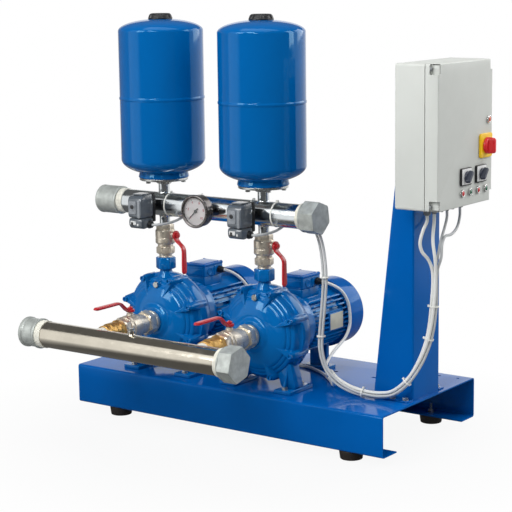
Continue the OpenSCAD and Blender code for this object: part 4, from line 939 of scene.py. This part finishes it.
# The windows are opaque and pale: their colour stands both for the white mechanism behind them and for
# reflection painted on the panes.
window = finish("window_with_painted_reflection", (206, 208, 208), 0.14, patch=(120.0, 0.35), grain=(300.0, 0.1, 0.05),
                Coat_Weight=0.8, Coat_Roughness=0.03)
z = deliv_z
lower = np.array([[-12.5, -34], [-12.5, -56], [-6, -66], [4, -68], [46, -60], [46, -34]]) + [0, z]
upper = np.array([[-15, -33], [-15, 24], [-11, 33], [4, 39], [46, 42], [46, -33]]) + [0, z]
lead_gland = [[0, 22], [13, 22], [13, 28], [11, 29], [11, 35], [8, 37], [0, 37]]
bodies, covers, faces, darks, panes = [], [], [], [], []
for x in switch_x:
    well = (x - 7, 0, z + 3)
    bodies += [slab(lower, x - 26.4, x + 26.4, "x", 3.0)]
    covers += [slab(upper, x - 27, x + 27, "x", 3.5),
               block((x + 25, -6, z - 24), (x + 28, 38, z + 28), 5.0, "x", 1.2),
               block((x - 20, 0, z + 39), (x + 20, 40, z + 43.5), 5.0, "z", 1.5)]
    # Paler front faces and well rim: painted light and a painted highlight on the cover.
    faces += [block((x - 23, -17.6, z - 20), (x + 8, -12, z + 22), 6.0, "y", 1.6),
              block((x + 12, -17, z - 32), (x + 23, -12, z + 26), 4.0, "y", 1.6),
              lathe([[12, -16], [12, -18.6], [8, -19.4], [7, -17], [0, -17]], 0.6, well, "y", 36)]
    darks += [block((x - 27.5, 45.4, z - 50), (x + 27.5, 58, z + 42), 5.0, "y", 1.5),
              lathe([[0, -16.8], [6.4, -16.8], [6.4, -19], [0, -19.6]], 0.5, well, "y", 28),
              lathe([[0, 57], [12, 57], [12, 60], [9, 61], [9, 66], [0, 66]], 0.8, (x, 0, z), "y", 36),
              lathe(lead_gland, 0.8, (x, 28, z - 56), "x", 32),
              block((x - 17, -13.6, z - 58), (x - 8, -10, z - 46), 2.0, "y", 0.6)]
    # Pale opaque panes: the white mechanism behind them, with painted reflection.
    panes += [block((x - 20, -13.2, z - 55), (x + 2, -10, z - 42), 3.0, "y", 0.8),
              block((x + 7, -13.2, z - 58), (x + 13, -10, z - 50), 2.0, "y", 0.8)]
add("switch_bodies", bodies, smoke, "cover", "switch_bodies")
add("switch_covers", covers, smoke, "cover", "switch_covers")
add("switch_faces", faces, lit_front_face, "cover")
add("switch_plates", darks, nylon, "black_plastic")
add("switch_windows", panes, window, "cover")

# Gauge: polished steel case and bezel with a white dial, a black scale, red figures, a thin black
# pointer and a glass lens.
gauge_at = (gauge_x, 0, deliv_z)
bezel_steel = finish("bezel_steel", (116, 112, 110), 0.3, metal=1.0, patch=(30.0, 0.08), rub=0.3,
                     grain=(500.0, 0.05, 0.03))
dial_white = finish("dial_white", (248, 238, 237), 0.5, patch=(50.0, 0.01), grain=(900.0, 0.02, 0.01))
ink = finish("black_ink", (24, 24, 26), 0.5, patch=(50.0, 0.05), grain=(900.0, 0.02, 0.01))
red_ink = finish("red_ink", (196, 60, 66), 0.5, patch=(50.0, 0.05), grain=(900.0, 0.02, 0.01))


def swung(outline, angle):
    """Outline in the plane of the dial, turned by an angle and set on the gauge's axis."""
    c, s = np.cos(angle), np.sin(angle)
    return np.asarray(outline) @ np.array([[c, s], [-s, c]]) + [gauge_x, deliv_z]


case = [[0, 34], [44.5, 34], [44.5, 27.6], [43.8, 27], [43.8, 23.4], [47, 21.8], [50.6, 22], [52.5, 24.4],
        [52.5, 32], [50, 35], [50, 57], [46, 60], [0, 60]]
gauge = [lathe(case, 1.2, gauge_at, "y", 96), nut(20.8, 59, 66, gauge_at, "y", 0)]
add("gauge_case", gauge, bezel_steel, "gauge", "gauge_case")
dial = lathe([[0, 33.2], [44.3, 33.2], [44.3, 33.9], [0, 33.9]], 0.1, gauge_at, "y")
add("gauge_dial", [dial], dial_white, "gauge")
zero, full, mark_r, figure_r = 225, -45, 41.5, 29.5
marks = []
for k, a in enumerate(np.radians(np.linspace(zero, full, 51))):
    long = 7.0 if k % 10 == 0 else 5.0 if k % 5 == 0 else 3.0
    half = 0.5 if k % 10 == 0 else 0.25
    bar = [[mark_r, -half], [mark_r, half], [mark_r - long, half], [mark_r - long, -half]]
    marks.append(carried(swung(bar, a), [32.9, 33.3], "y"))
add("gauge_scale", marks, ink, "gauge")
numbers = bmesh.new()
for k, a in enumerate(np.radians(np.linspace(zero, full, 6))):
    figure = bpy.data.curves.new("figure", "FONT")
    figure.body, figure.size, figure.extrude = str(k * 2), 0.0110, 0.0002
    figure.align_x, figure.align_y = "CENTER", "CENTER"
    stand = bpy.data.objects.new("figure", figure)
    scene.collection.objects.link(stand)
    spot = shop([gauge_x + figure_r * np.cos(a), 32.95, deliv_z + figure_r * np.sin(a)])
    upright = Matrix(((1, 0, 0, 0), (0, 0, -1, 0), (0, 1, 0, 0), (0, 0, 0, 1)))
    stand.matrix_world = Matrix.Translation(spot.tolist()) @ upright
    bpy.context.view_layer.update()
    flat = bpy.data.meshes.new_from_object(stand.evaluated_get(bpy.context.evaluated_depsgraph_get()))
    flat.transform(stand.matrix_world)
    numbers.from_mesh(flat)
    bpy.data.objects.remove(stand)
    bpy.data.meshes.remove(flat)
written = bpy.data.meshes.new("gauge_figures")
numbers.to_mesh(written)
numbers.free()
written.materials.append(red_ink)
gauge_figures = bpy.data.objects.new("gauge_figures", written)
scene.collection.objects.link(gauge_figures)
fit(gauge_figures, "gauge")
needle = swung([[36, -0.6], [36, 0.6], [0, 1.8], [-13, 2.6], [-14, 0], [-13, -2.6], [0, -1.8]],
               np.radians(zero))
pointer = [carried(needle, [29.8, 30.6], "y"),
           lathe([[0, 29], [4.4, 29], [5, 29.8], [5, 32], [0, 32]], 0.6, gauge_at, "y", 32),
           turned([[1.5, 30], [1.5, 44]], gauge_at, "y", 16)]
add("gauge_pointer", pointer, ink, "pointer", "gauge_pointer", body="pointer")
glass = bpy.data.materials.new("gauge_glass")
glass.use_nodes = True
clear = glass.node_tree.nodes["Principled BSDF"]
clear.inputs["Base Color"].default_value = (0.97, 0.99, 1.0, 1.0)
clear.inputs["Transmission Weight"].default_value = 1.0
clear.inputs["Roughness"].default_value = 0.01
clear.inputs["IOR"].default_value = 1.45
lens = lathe([[0, 24], [43, 24], [43.5, 24.7], [43.5, 26], [0, 26]], 0.3, gauge_at, "y")
add("gauge_lens", [lens], glass, "lens", "gauge_lens")

# Panel box: a pale grey moulded enclosure, open at the front, screwed to the post and drilled below
# for the glands. The fixed halves of two hinges stand out on its far side.
panel_d, lid_d, panel_y0, panel_y1, panel_z0, panel_z1 = 99.0, 43.0, 92.5, 417.5, 728.0, 1150.0
panel_front = panel_x + panel_d
hinge_y, hinge_z = panel_y1 + 7.0, (panel_z0 + 80, panel_z1 - 124)
gland_x, gland_y = panel_x + 62, panel_y1 - np.array([245, 203, 161, 127, 95, 48])
gland_r = (13, 11, 9, 9, 9, 13)
moulded = finish("pale_grey_moulding", (204, 207, 202), 0.45, patch=(7.0, 0.02), rub=0.2,
                 grain=(900.0, 0.12, 0.05))


def tray(shut, open_end, thick, r, ease):
    """Open box along X: rounded loops from the shut face, eased at its edge, to the open rim and
    back along the inside to the floor."""
    way = np.sign(open_end - shut)
    heart = np.array([panel_y0 + panel_y1, panel_z0 + panel_z1]) / 2
    size = np.array([panel_y1 - panel_y0, panel_z1 - panel_z0])
    q = np.radians(np.linspace(0, 90, 5))
    inset = np.concatenate([ease * (1 - np.sin(q)), [0, thick, thick]])
    place = np.concatenate([shut + way * ease * (1 - np.cos(q)), [open_end, open_end, shut + way * thick]])
    loops = np.stack([ring_of(*(size - 2 * d), max(r - d, 1.0)) for d in inset]) + heart
    return np.concatenate([np.broadcast_to(place[:, None, None], (*loops.shape[:2], 1)), loops], -1)


enclosure = [tray(panel_x, panel_front - 1.0, 4.0, 7.0, 3.0)]
on_hinge = (panel_front, hinge_y, 0)
for z in hinge_z:
    for k in (z, z + 32):
        enclosure += [block((panel_front - 12, panel_y1 - 1, k), (panel_front, hinge_y, k + 12), 1.0),
                      lathe([[0, k], [5, k], [5, k + 12], [0, k + 12]], 0.6, on_hinge, "z", 32)]
    enclosure.append(turned([[2.5, z], [2.5, z + 44]], on_hinge, "z", 24))
gland_holes = [turned([[r - 3, panel_z0 - 2], [r - 3, panel_z0 + 8]], (gland_x, y, 0), "z", 32)
               for y, r in zip(gland_y, gland_r)]
fit(drilled(build("panel_enclosure", enclosure, moulded), gland_holes), "panel_grey", "panel_box")

# Switchgear: the plate inside the panel with contactors, relays and terminals. It is seen only
# when the door is open, so the plain solids of the model stay and take a finish.
gear = finish("gear_plate", (176, 178, 176), 0.4, metal=0.3, patch=(14.0, 0.08), grain=(600.0, 0.1, 0.05))


def coat(material, *names):
    """Gives solids of the model a finish."""
    for name in names:
        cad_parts[name].data.materials.clear()
        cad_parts[name].data.materials.append(material)


coat(gear, "panel_gear")

# Panel glands: grey nylon, screwed into the bottom of the box, each a hexagon and a ribbed dome nut.
# Four hold cables and two are spare.
gland_grey = finish("grey_nylon", (112, 117, 121), 0.4, patch=(40.0, 0.08), grain=(1000.0, 0.1, 0.05))
t = np.linspace(0, 2 * np.pi, 96, endpoint=False)[None]
rib = np.maximum(np.cos(16 * t), 0) * 0.7
under = []
for y, r in zip(gland_y, gland_r):
    level, wide = np.array([[-7, r - 2.4], [-9, r - 2.0], [-16, r - 2.0], [-20, r - 2.8], [-23, r - 4.4],
                            [-24, r - 5.4], [-24, 5.9]]).T[:, :, None]
    dome = np.maximum(wide - rib * (wide > 6.5), 5.7)
    under += [nut(1.72 * r, panel_z0 - 9, panel_z0, (gland_x, y, 0), "z", 10),
              np.stack([gland_x + dome * np.cos(t), y + dome * np.sin(t), panel_z0 + level + 0 * t], -1)]
add("panel_glands", under, gland_grey, "gland_grey", "panel_glands")

# Door: the deep moulded lid of the panel with stepped corners that hold the lid screws, hinged on
# its far side and pierced for the lamps and switches.
door_x0 = panel_front + 0.3
door_x1 = door_x0 + lid_d
main_y, main_z, knob_x = panel_y1 - 46, panel_z0 + 168, door_x1 + 8
sel_y, sel_z = (panel_y1 - 165, panel_y1 - 74), panel_z0 + 87
lamp_at = [(panel_y1 - y, panel_z0 + 39) for y in (184, 137, 90, 43)] + [(panel_y1 - 25, panel_z0 + 244)]
door = build("panel_lid", [tray(door_x1, door_x0 + 0.9, 3.5, 7.0, 3.0)], moulded)
recesses = [block((door_x1 - 28, y, z), (door_x1 + 9, y + 18, z + 35), 2.0, "x")
            for y in (panel_y0 - 4, panel_y1 - 14) for z in (panel_z0 - 4, panel_z1 - 31)]
bores = [(*spot, 8.3) for spot in lamp_at] + [(main_y, main_z, 12.0)] + [(y, sel_z, 12.0) for y in sel_y]
ways = [turned([[r, door_x1 - 8], [r, door_x1 + 4]], (0, y, z), "x", 32) for y, z, r in bores]
fit(drilled(door, recesses + ways), "panel_grey", "panel_door", body="door")
cups = []
for y0, y1, wall_y in ((panel_y0 + 0.4, panel_y0 + 17.5, panel_y0 + 14),
                       (panel_y1 - 17.5, panel_y1 - 0.4, panel_y1 - 17.5)):
    for z0, z1, wall_z in ((panel_z0 + 0.4, panel_z0 + 34.5, panel_z0 + 31),
                           (panel_z1 - 34.5, panel_z1 - 0.4, panel_z1 - 34.5)):
        cups += [block((door_x0 + 1, y0, z0), (door_x1 - 28, y1, z1), 5.0, "x", 0.4),
                 block((door_x1 - 30, wall_y, z0), (door_x1 - 1.2, wall_y + 3.5, z1), 0.6, "x", 0.3),
                 block((door_x1 - 30, y0, wall_z), (door_x1 - 1.2, y1, wall_z + 3.5), 0.6, "x", 0.3)]
for z in hinge_z:
    knuckle = [[2.6, z + 12.3], [5, z + 12.3], [5, z + 31.7], [2.6, z + 31.7]]
    cups += [block((door_x0, panel_y1 - 1, z + 12.3), (door_x0 + 12, hinge_y, z + 31.7), 1.0),
             lathe(knuckle, 0.6, on_hinge, "z", 32)]
add("lid_corners", cups, moulded, "panel_grey", body="door")
screw_grey = finish("screw_grey", (150, 154, 156), 0.4, patch=(60.0, 0.10), grain=(900.0, 0.1, 0.04))
screw_head = [[0, -28.4], [5.8, -28.4], [5.8, -25.4], [4.8, -24.4], [0, -24.2]]
lid_screws = []
for y in (panel_y0 + 7, panel_y1 - 7):
    for z in (panel_z0 + 14, panel_z1 - 14):
        lid_screws += [lathe(screw_head, 0.5, (door_x1, y, z), "x", 32),
                       block((door_x1 - 24.6, y - 4, z - 0.8), (door_x1 - 23.9, y + 4, z + 0.8), 0.3, "x",
                             0.1)]
add("lid_screws", lid_screws, screw_grey, "gland_grey", body="door")

# Pilot lamps: chromed bezels with domed plastic lenses, set in holes of the door, red and green in
# turn and an amber one above.
chrome = finish("chrome_bezel", (228, 228, 226), 0.12, metal=1.0, patch=(60.0, 0.05),
                grain=(900.0, 0.03, 0.02))
bezel = [[0, -12], [7.9, -12], [7.9, 0], [12, 0], [12, 3.4], [10.6, 6.2], [8.2, 6.6], [7.6, 5], [0, 5]]
bezels = [lathe(bezel, 0.6, (door_x1, y, z), "x", 48) for y, z in lamp_at]
add("lamp_bezels", bezels, chrome, "lamp", "door_lamps", body="door")
q = np.radians(np.linspace(0, 90, 12))
bulb = np.concatenate([[[7.4, 2.6]], np.stack([7.4 * np.cos(q), 5.4 + 3.4 * np.sin(q)], -1)])
for label, colour, which in (("red", (196, 34, 44), (0, 2)), ("green", (14, 96, 66), (1, 3)),
                             ("amber", (206, 84, 46), (4,))):
    tinted = finish(f"{label}_lens", colour, 0.12, patch=(90.0, 0.06), grain=(600.0, 0.05, 0.03),
                    Coat_Weight=0.6, Coat_Roughness=0.04)
    lenses = [turned(bulb, (door_x1, *lamp_at[k]), "x", 40) for k in which]
    add(f"{label}_lamp_lenses", lenses, tinted, "lamp", body="door")

# Main switch: a yellow plastic plate with a raised round land, and a red rotary handle with a thick
# rounded grip on a spindle through the door.
main_at = (knob_x, main_y, main_z)
yellow = finish("yellow_plate", (250, 202, 4), 0.34, patch=(25.0, 0.03), grain=(800.0, 0.08, 0.03))
handle_red = finish("handle_red", (222, 40, 48), 0.3, patch=(25.0, 0.05), grain=(800.0, 0.08, 0.03),
                    Coat_Weight=0.2, Coat_Roughness=0.15)


def grip(low, high, base_w, top_w, base_l, top_l, heart, ease):
    """Tapered handle bar along X: rounded loops that narrow towards the top and round over it."""
    q = np.radians(np.linspace(0, 90, 7))
    place = np.concatenate([[low], high - ease + ease * np.sin(q)])
    part = (place - low) / (high - low)
    inset = np.concatenate([[0], ease * (1 - np.cos(q))])
    width, length = base_w + (top_w - base_w) * part, base_l + (top_l - base_l) * part
    loops = np.stack([ring_of(w - 2 * d, l - 2 * d, max(0.49 * w - d, 0.3), 8)
                      for w, l, d in zip(width, length, inset)])
    return np.concatenate([np.broadcast_to(place[:, None, None], (*loops.shape[:2], 1)), loops + heart], -1)


plate = [block((door_x1, main_y - 36, main_z - 36), (knob_x - 0.6, main_y + 36, main_z + 36), 8.0, "x", 2.0),
         lathe([[0, -1.2], [31, -1.2], [30, -0.3], [0, -0.3]], 0.3, main_at, "x", 64)]
add("main_switch_plate", plate, yellow, "yellow", "switch_plate", body="door")
knob = [turned([[5.9, door_x1 - 12 - knob_x], [5.9, 2]], main_at, "x", 24),
        lathe([[0, 0], [25, 0], [24, 7], [20, 10], [0, 10]], 2.4, main_at, "x"),
        grip(knob_x + 8, knob_x + 29, 18, 14, 50, 44, (main_y, main_z), 5.0)]
add("main_switch_handle", knob, handle_red, "knob_red", "main_knob", body="main_handle")

# Selector switches: black frames with satin silver faces, and dark slate handles on round hubs.
# The handles point aslant, as the set was left.
silver = finish("silver_face", (222, 223, 222), 0.38, metal=0.25, patch=(40.0, 0.05),
                grain=(900.0, 0.04, 0.02))
slate = finish("slate_handle", (58, 64, 78), 0.34, patch=(30.0, 0.08), grain=(800.0, 0.1, 0.04))
frames = [block((door_x1, y - 31, sel_z - 26), (door_x1 + 7, y + 31, sel_z + 26), 5.0, "x",
                1.2) for y in sel_y]
add("selector_frames", frames, nylon, "selector_plate", "selector_plates", body="door")
sel_x = door_x1 + 7.4
silver_faces = [block((sel_x - 1, y - 28.5, sel_z - 22), (sel_x, y + 28.5, sel_z + 23.5), 3.0, "x", 0.2)
                for y in sel_y]
add("selector_faces", silver_faces, silver, "selector_plate", body="door")
slant = np.radians(-38)
aslant = np.array([[1, 0, 0], [0, np.cos(slant), -np.sin(slant)], [0, np.sin(slant), np.cos(slant)]])
for number, (letter, y) in enumerate(zip("ab", sel_y), 1):
    heart = (sel_x, y, sel_z)
    turn_hub = lathe([[0, 0], [17, 0], [16.4, 4], [14.5, 5.5], [0, 5.5]], 1.4, heart, "x", 60)
    bar = grip(4, 16.4, 14, 11, 42, 38, (0, 0), 3.0) @ aslant.T + heart
    spindle = turned([[3.9, door_x1 - 12 - sel_x], [3.9, 1]], heart, "x", 20)
    add(f"selector_handle_{number}", [turn_hub, bar, spindle], slate, "slate", f"selector_knob_{number}",
        body=f"selector_{letter}")

# Inner pieces: valve balls, check discs and rotors sit inside the castings and show only through
# the open sockets, so the model's own solids stay and take a bright steel finish.
inner_steel = finish("inner_steel", (186, 188, 190), 0.22, metal=1.0, patch=(25.0, 0.08),
                     grain=(500.0, 0.05, 0.03))
coat(inner_steel, *(f"{kind}_{number}" for kind in ("suction_ball", "delivery_ball", "check_disc", "rotor")
                    for number in (1, 2)))

# Cables: pale sheathed leads from the motors and greyer ones from the switches, whose grey is partly their
# own and partly painted shade, led behind the manifold, down to the base and up to the panel in one bundle.
# Their routes are those of the model, but for the last bend of the first switch's lead.
low_z, top_z = base_h + 8, panel_z0 - 22
rise = top_z - low_z
drop = np.array([[846, 172, deliv_z - 50], [862, 170, deliv_z - 80], [876, 165, deliv_z - 125],
                 [888, 156, deliv_z - 190], [890, 145, deliv_z - 275], [886, 137, deliv_z - 370],
                 [888, 135, low_z + 128], [902, 138, low_z + 78]])
bundle = np.array([[934, 142, 38], [978, 147, 17], [1028, 150, 8], [1082, 151, 9], [1132, 154, 22],
                   [1176, 163, 60], [1210, 177, 118], [1236, 188, 195], [1249, 193, 295],
                   [1250, 196, 400]]) + [0, 0, low_z]
start_m1 = np.array([[54, 341, 126], [68, 341, 126], [92, 370, 106], [116, 396, 66], [136, 410, 0],
                     [150, 410, -80], [172, 406, -140], [216, 400, -166], [290, 388, -170], [380, 366, -170],
                     [470, 318, -170], [540, 256, -170], [590, 200, -166]]) + [pump_x[0], 0, axis_z]
end_m1 = np.array([[1238, 178, 436], [1228, 158, 462], [1226, 150, 488], [1230, 158, 522],
                   [gland_x, gland_y[0], 552], [gland_x, gland_y[0], rise]]) + [0, 0, low_z]
start_m2 = np.array([[54, 341, 126], [68, 341, 126], [100, 384, 98], [112, 412, 56], [114, 423, 10],
                     [114, 420, -30], [113, 395, -62], [114, 330, -92], [128, 262, -122], [170, 206, -140],
                     [208, 168, -112]]) + [pump_x[1], 0, axis_z]
end_m2 = np.array([[1257, 184, 440], [1247, 188, 492], [gland_x, gland_y[1], 545],
                   [gland_x, gland_y[1], rise]]) + [0, 0, low_z]
from_switch = [[8, 28, -56], [24, 30, -56], [40, 48, -55], [52, 100, -50], [62, 140, -36]]
start_s1 = np.array([*from_switch, [84, 156, -12], [270, 154, -6], [440, 156, -4], [502, 164, -10],
                     [532, 172, -24]]) + [pump_x[0], 0, deliv_z]
end_s1 = np.array([[1264, 208, 440], [1264, 213, 478], [1260, 236, 498], [1252, 292, 498], [1242, 345, 514],
                   [gland_x, gland_y[5], 542], [gland_x, gland_y[5], rise]]) + [0, 0, low_z]
start_s2 = np.array([*from_switch, [84, 156, -26], [108, 163, -28], [132, 170, -38]]) + [pump_x[1], 0,
                                                                                         deliv_z]
end_s2 = np.array([[1250, 212, 440], [1250, 232, 490], [1244, 262, 520], [gland_x, gland_y[3], 548],
                   [gland_x, gland_y[3], rise]]) + [0, 0, low_z]


def heading(path):
    """Unit direction of a path at each of its points."""
    ahead, behind = np.concatenate([path[1:], path[-1:]]), np.concatenate([path[:1], path[:-1]])
    return (ahead - behind) / np.linalg.norm(ahead - behind, axis=1)[:, None]


def beside(path, first_r, last_r, angle, turn):
    """Path that winds round another one: it stands off by a radius at an angle which turns
    evenly along the way."""
    t = heading(path)
    n = np.cross(t, [0.0, 1.0, 0.0])
    n /= np.linalg.norm(n, axis=1)[:, None]
    w = np.cross(n, t)
    f = np.linspace(0, 1, len(path))[:, None]
    q, d = np.radians(angle + turn * f), first_r + (last_r - first_r) * f
    return path + d * np.cos(q) * w + d * np.sin(q) * n


def smooth(path, per=7):
    """Curve through the points: on each span the cubic whose end slopes follow the neighbours."""
    p = np.concatenate([2 * path[:1] - path[1:2], path, 2 * path[-1:] - path[-2:-1]])
    a, b, c, d = p[:-3, None], p[1:-2, None], p[2:-1, None], p[3:, None]
    ka, kb, kc = (np.sqrt(np.linalg.norm(y - x, axis=-1, keepdims=True)) for x, y in ((a, b), (b, c), (c, d)))
    m1 = kb * ((b - a) / ka - (c - a) / (ka + kb) + (c - b) / kb)
    m2 = kb * ((c - b) / kb - (d - b) / (kb + kc) + (d - c) / kc)
    t = np.linspace(0, 1, per, endpoint=False)[None, :, None]
    spans = (2 * t ** 3 - 3 * t ** 2 + 1) * b + (t ** 3 - 2 * t ** 2 + t) * m1
    spans = spans + (3 * t ** 2 - 2 * t ** 3) * c + (t ** 3 - t ** 2) * m2
    return np.concatenate([spans.reshape(-1, 3), path[-1:]])


def tube(path, r, n=18):
    """Round section carried along a path on frames that turn as little as they can."""
    t = heading(path)
    side = np.cross(t[0], [0.3, 0.5, 0.81])
    sides = []
    for direction in t:
        side = side - side.dot(direction) * direction
        side = side / np.linalg.norm(side)
        sides.append(side)
    u = np.stack(sides)
    w = np.cross(t, u)
    q = np.linspace(0, 2 * np.pi, n, endpoint=False)[None, :, None]
    return path[:, None] + r * (np.cos(q) * u[:, None] + np.sin(q) * w[:, None])


white = finish("white_sheath", (226, 227, 224), 0.42, patch=(12.0, 0.04), grain=(700.0, 0.12, 0.06))
# The switch leads' greyer sheath is partly painted shade, as on the lead that drops from the pipe.
grey = finish("grey_sheath_and_painted_shade", (186, 189, 190), 0.42, patch=(12.0, 0.05), grain=(700.0, 0.12, 0.06))
bundle_r, motor_r, switch_r = 7.6, 5.0, 4.2
winding = [beside(bundle, bundle_r, bundle_r, angle, 180) for angle in (315, 45, 135, 225)]
falls = [beside(drop, 5.6, 6.8, 90, 45), beside(drop, 5.6, 6.8, 270, -45)]
leads = {"motor_cable_1": [start_m1, winding[0], end_m1],
         "motor_cable_2": [start_m2, winding[1], end_m2],
         "switch_cable_1": [start_s1, falls[0], winding[2], end_s1],
         "switch_cable_2": [start_s2, falls[1], winding[3], end_s2]}
for name, stretches in leads.items():
    kind = name.split("_")[0]
    r, sheath, slot = {"motor": (motor_r, white, "cable_white"),
                       "switch": (switch_r, grey, "cable_grey")}[kind]
    path = smooth(np.concatenate(stretches))
    lead = build(name, [tube(path, r)], sheath)
    fit(lead, slot, f"cables_{kind}")

# Ties: white nylon straps with a square head and a cut tail, pulled tight around the delivery pipe
# and around the cables.
tie_white = finish("white_nylon", (232, 232, 226), 0.4, patch=(30.0, 0.04), grain=(900.0, 0.08, 0.04))


def band(r, low, high):
    """Closed section of a strap's ring on a radius, between two places along its axis."""
    return soften([[r, low], [r + 1.4, low], [r + 1.4, high], [r, high]], 0.4, 3, closed=True)


def strap_at(path, i, r):
    """Strap round a path's point: a flat ring square to the path, with its head on one side."""
    t = heading(path)[i]
    a, b = np.arctan2(t[1], t[0]), np.arccos(t[2])
    level = np.array([[np.cos(a), -np.sin(a), 0], [np.sin(a), np.cos(a), 0], [0, 0, 1]])
    tilt = np.array([[np.cos(b), 0, np.sin(b)], [0, 1, 0], [-np.sin(b), 0, np.cos(b)]])
    turn = level @ tilt
    head = block((-r - 6, -4, -3), (-r - 0.2, 4, 3), 1.2)
    tail = block((-r - 4.6, 3, -2.2), (-r - 3.4, 9, 2.2), 0.5)
    return [(turned(band(r, -2.5, 2.5), n=64) @ turn.T + path[i], "loop"),
            head @ turn.T + path[i], tail @ turn.T + path[i]]


ties = []
for x in (pump_x[0] + 26, pump_x[0] + 150, pump_x[1] - 40, pump_x[1] + 50):
    strap = soften([[deliv_r + 0.1, 0], [deliv_r + 1.4, 0], [deliv_r + 1.4, 5], [deliv_r + 0.1, 5]], 0.4, 3,
                   closed=True)
    crest = deliv_z + deliv_r
    ties += [(turned(strap, (x, port_y, deliv_z), "x", 96), "loop"),
             block((x - 1, port_y - 4, crest + 0.6), (x + 6, port_y + 5, crest + 6), 1.2)]
for i in (2, 5, 7, 8):
    ties += strap_at(bundle, i, 12.9)
for i in (3, 5):
    ties += strap_at(drop, i, 5.6 + 1.2 * i / 7 + 4.5)
add("cable_ties", ties, tie_white, "tie", "cable_ties")

bpy.context.view_layer.update()
low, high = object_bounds()
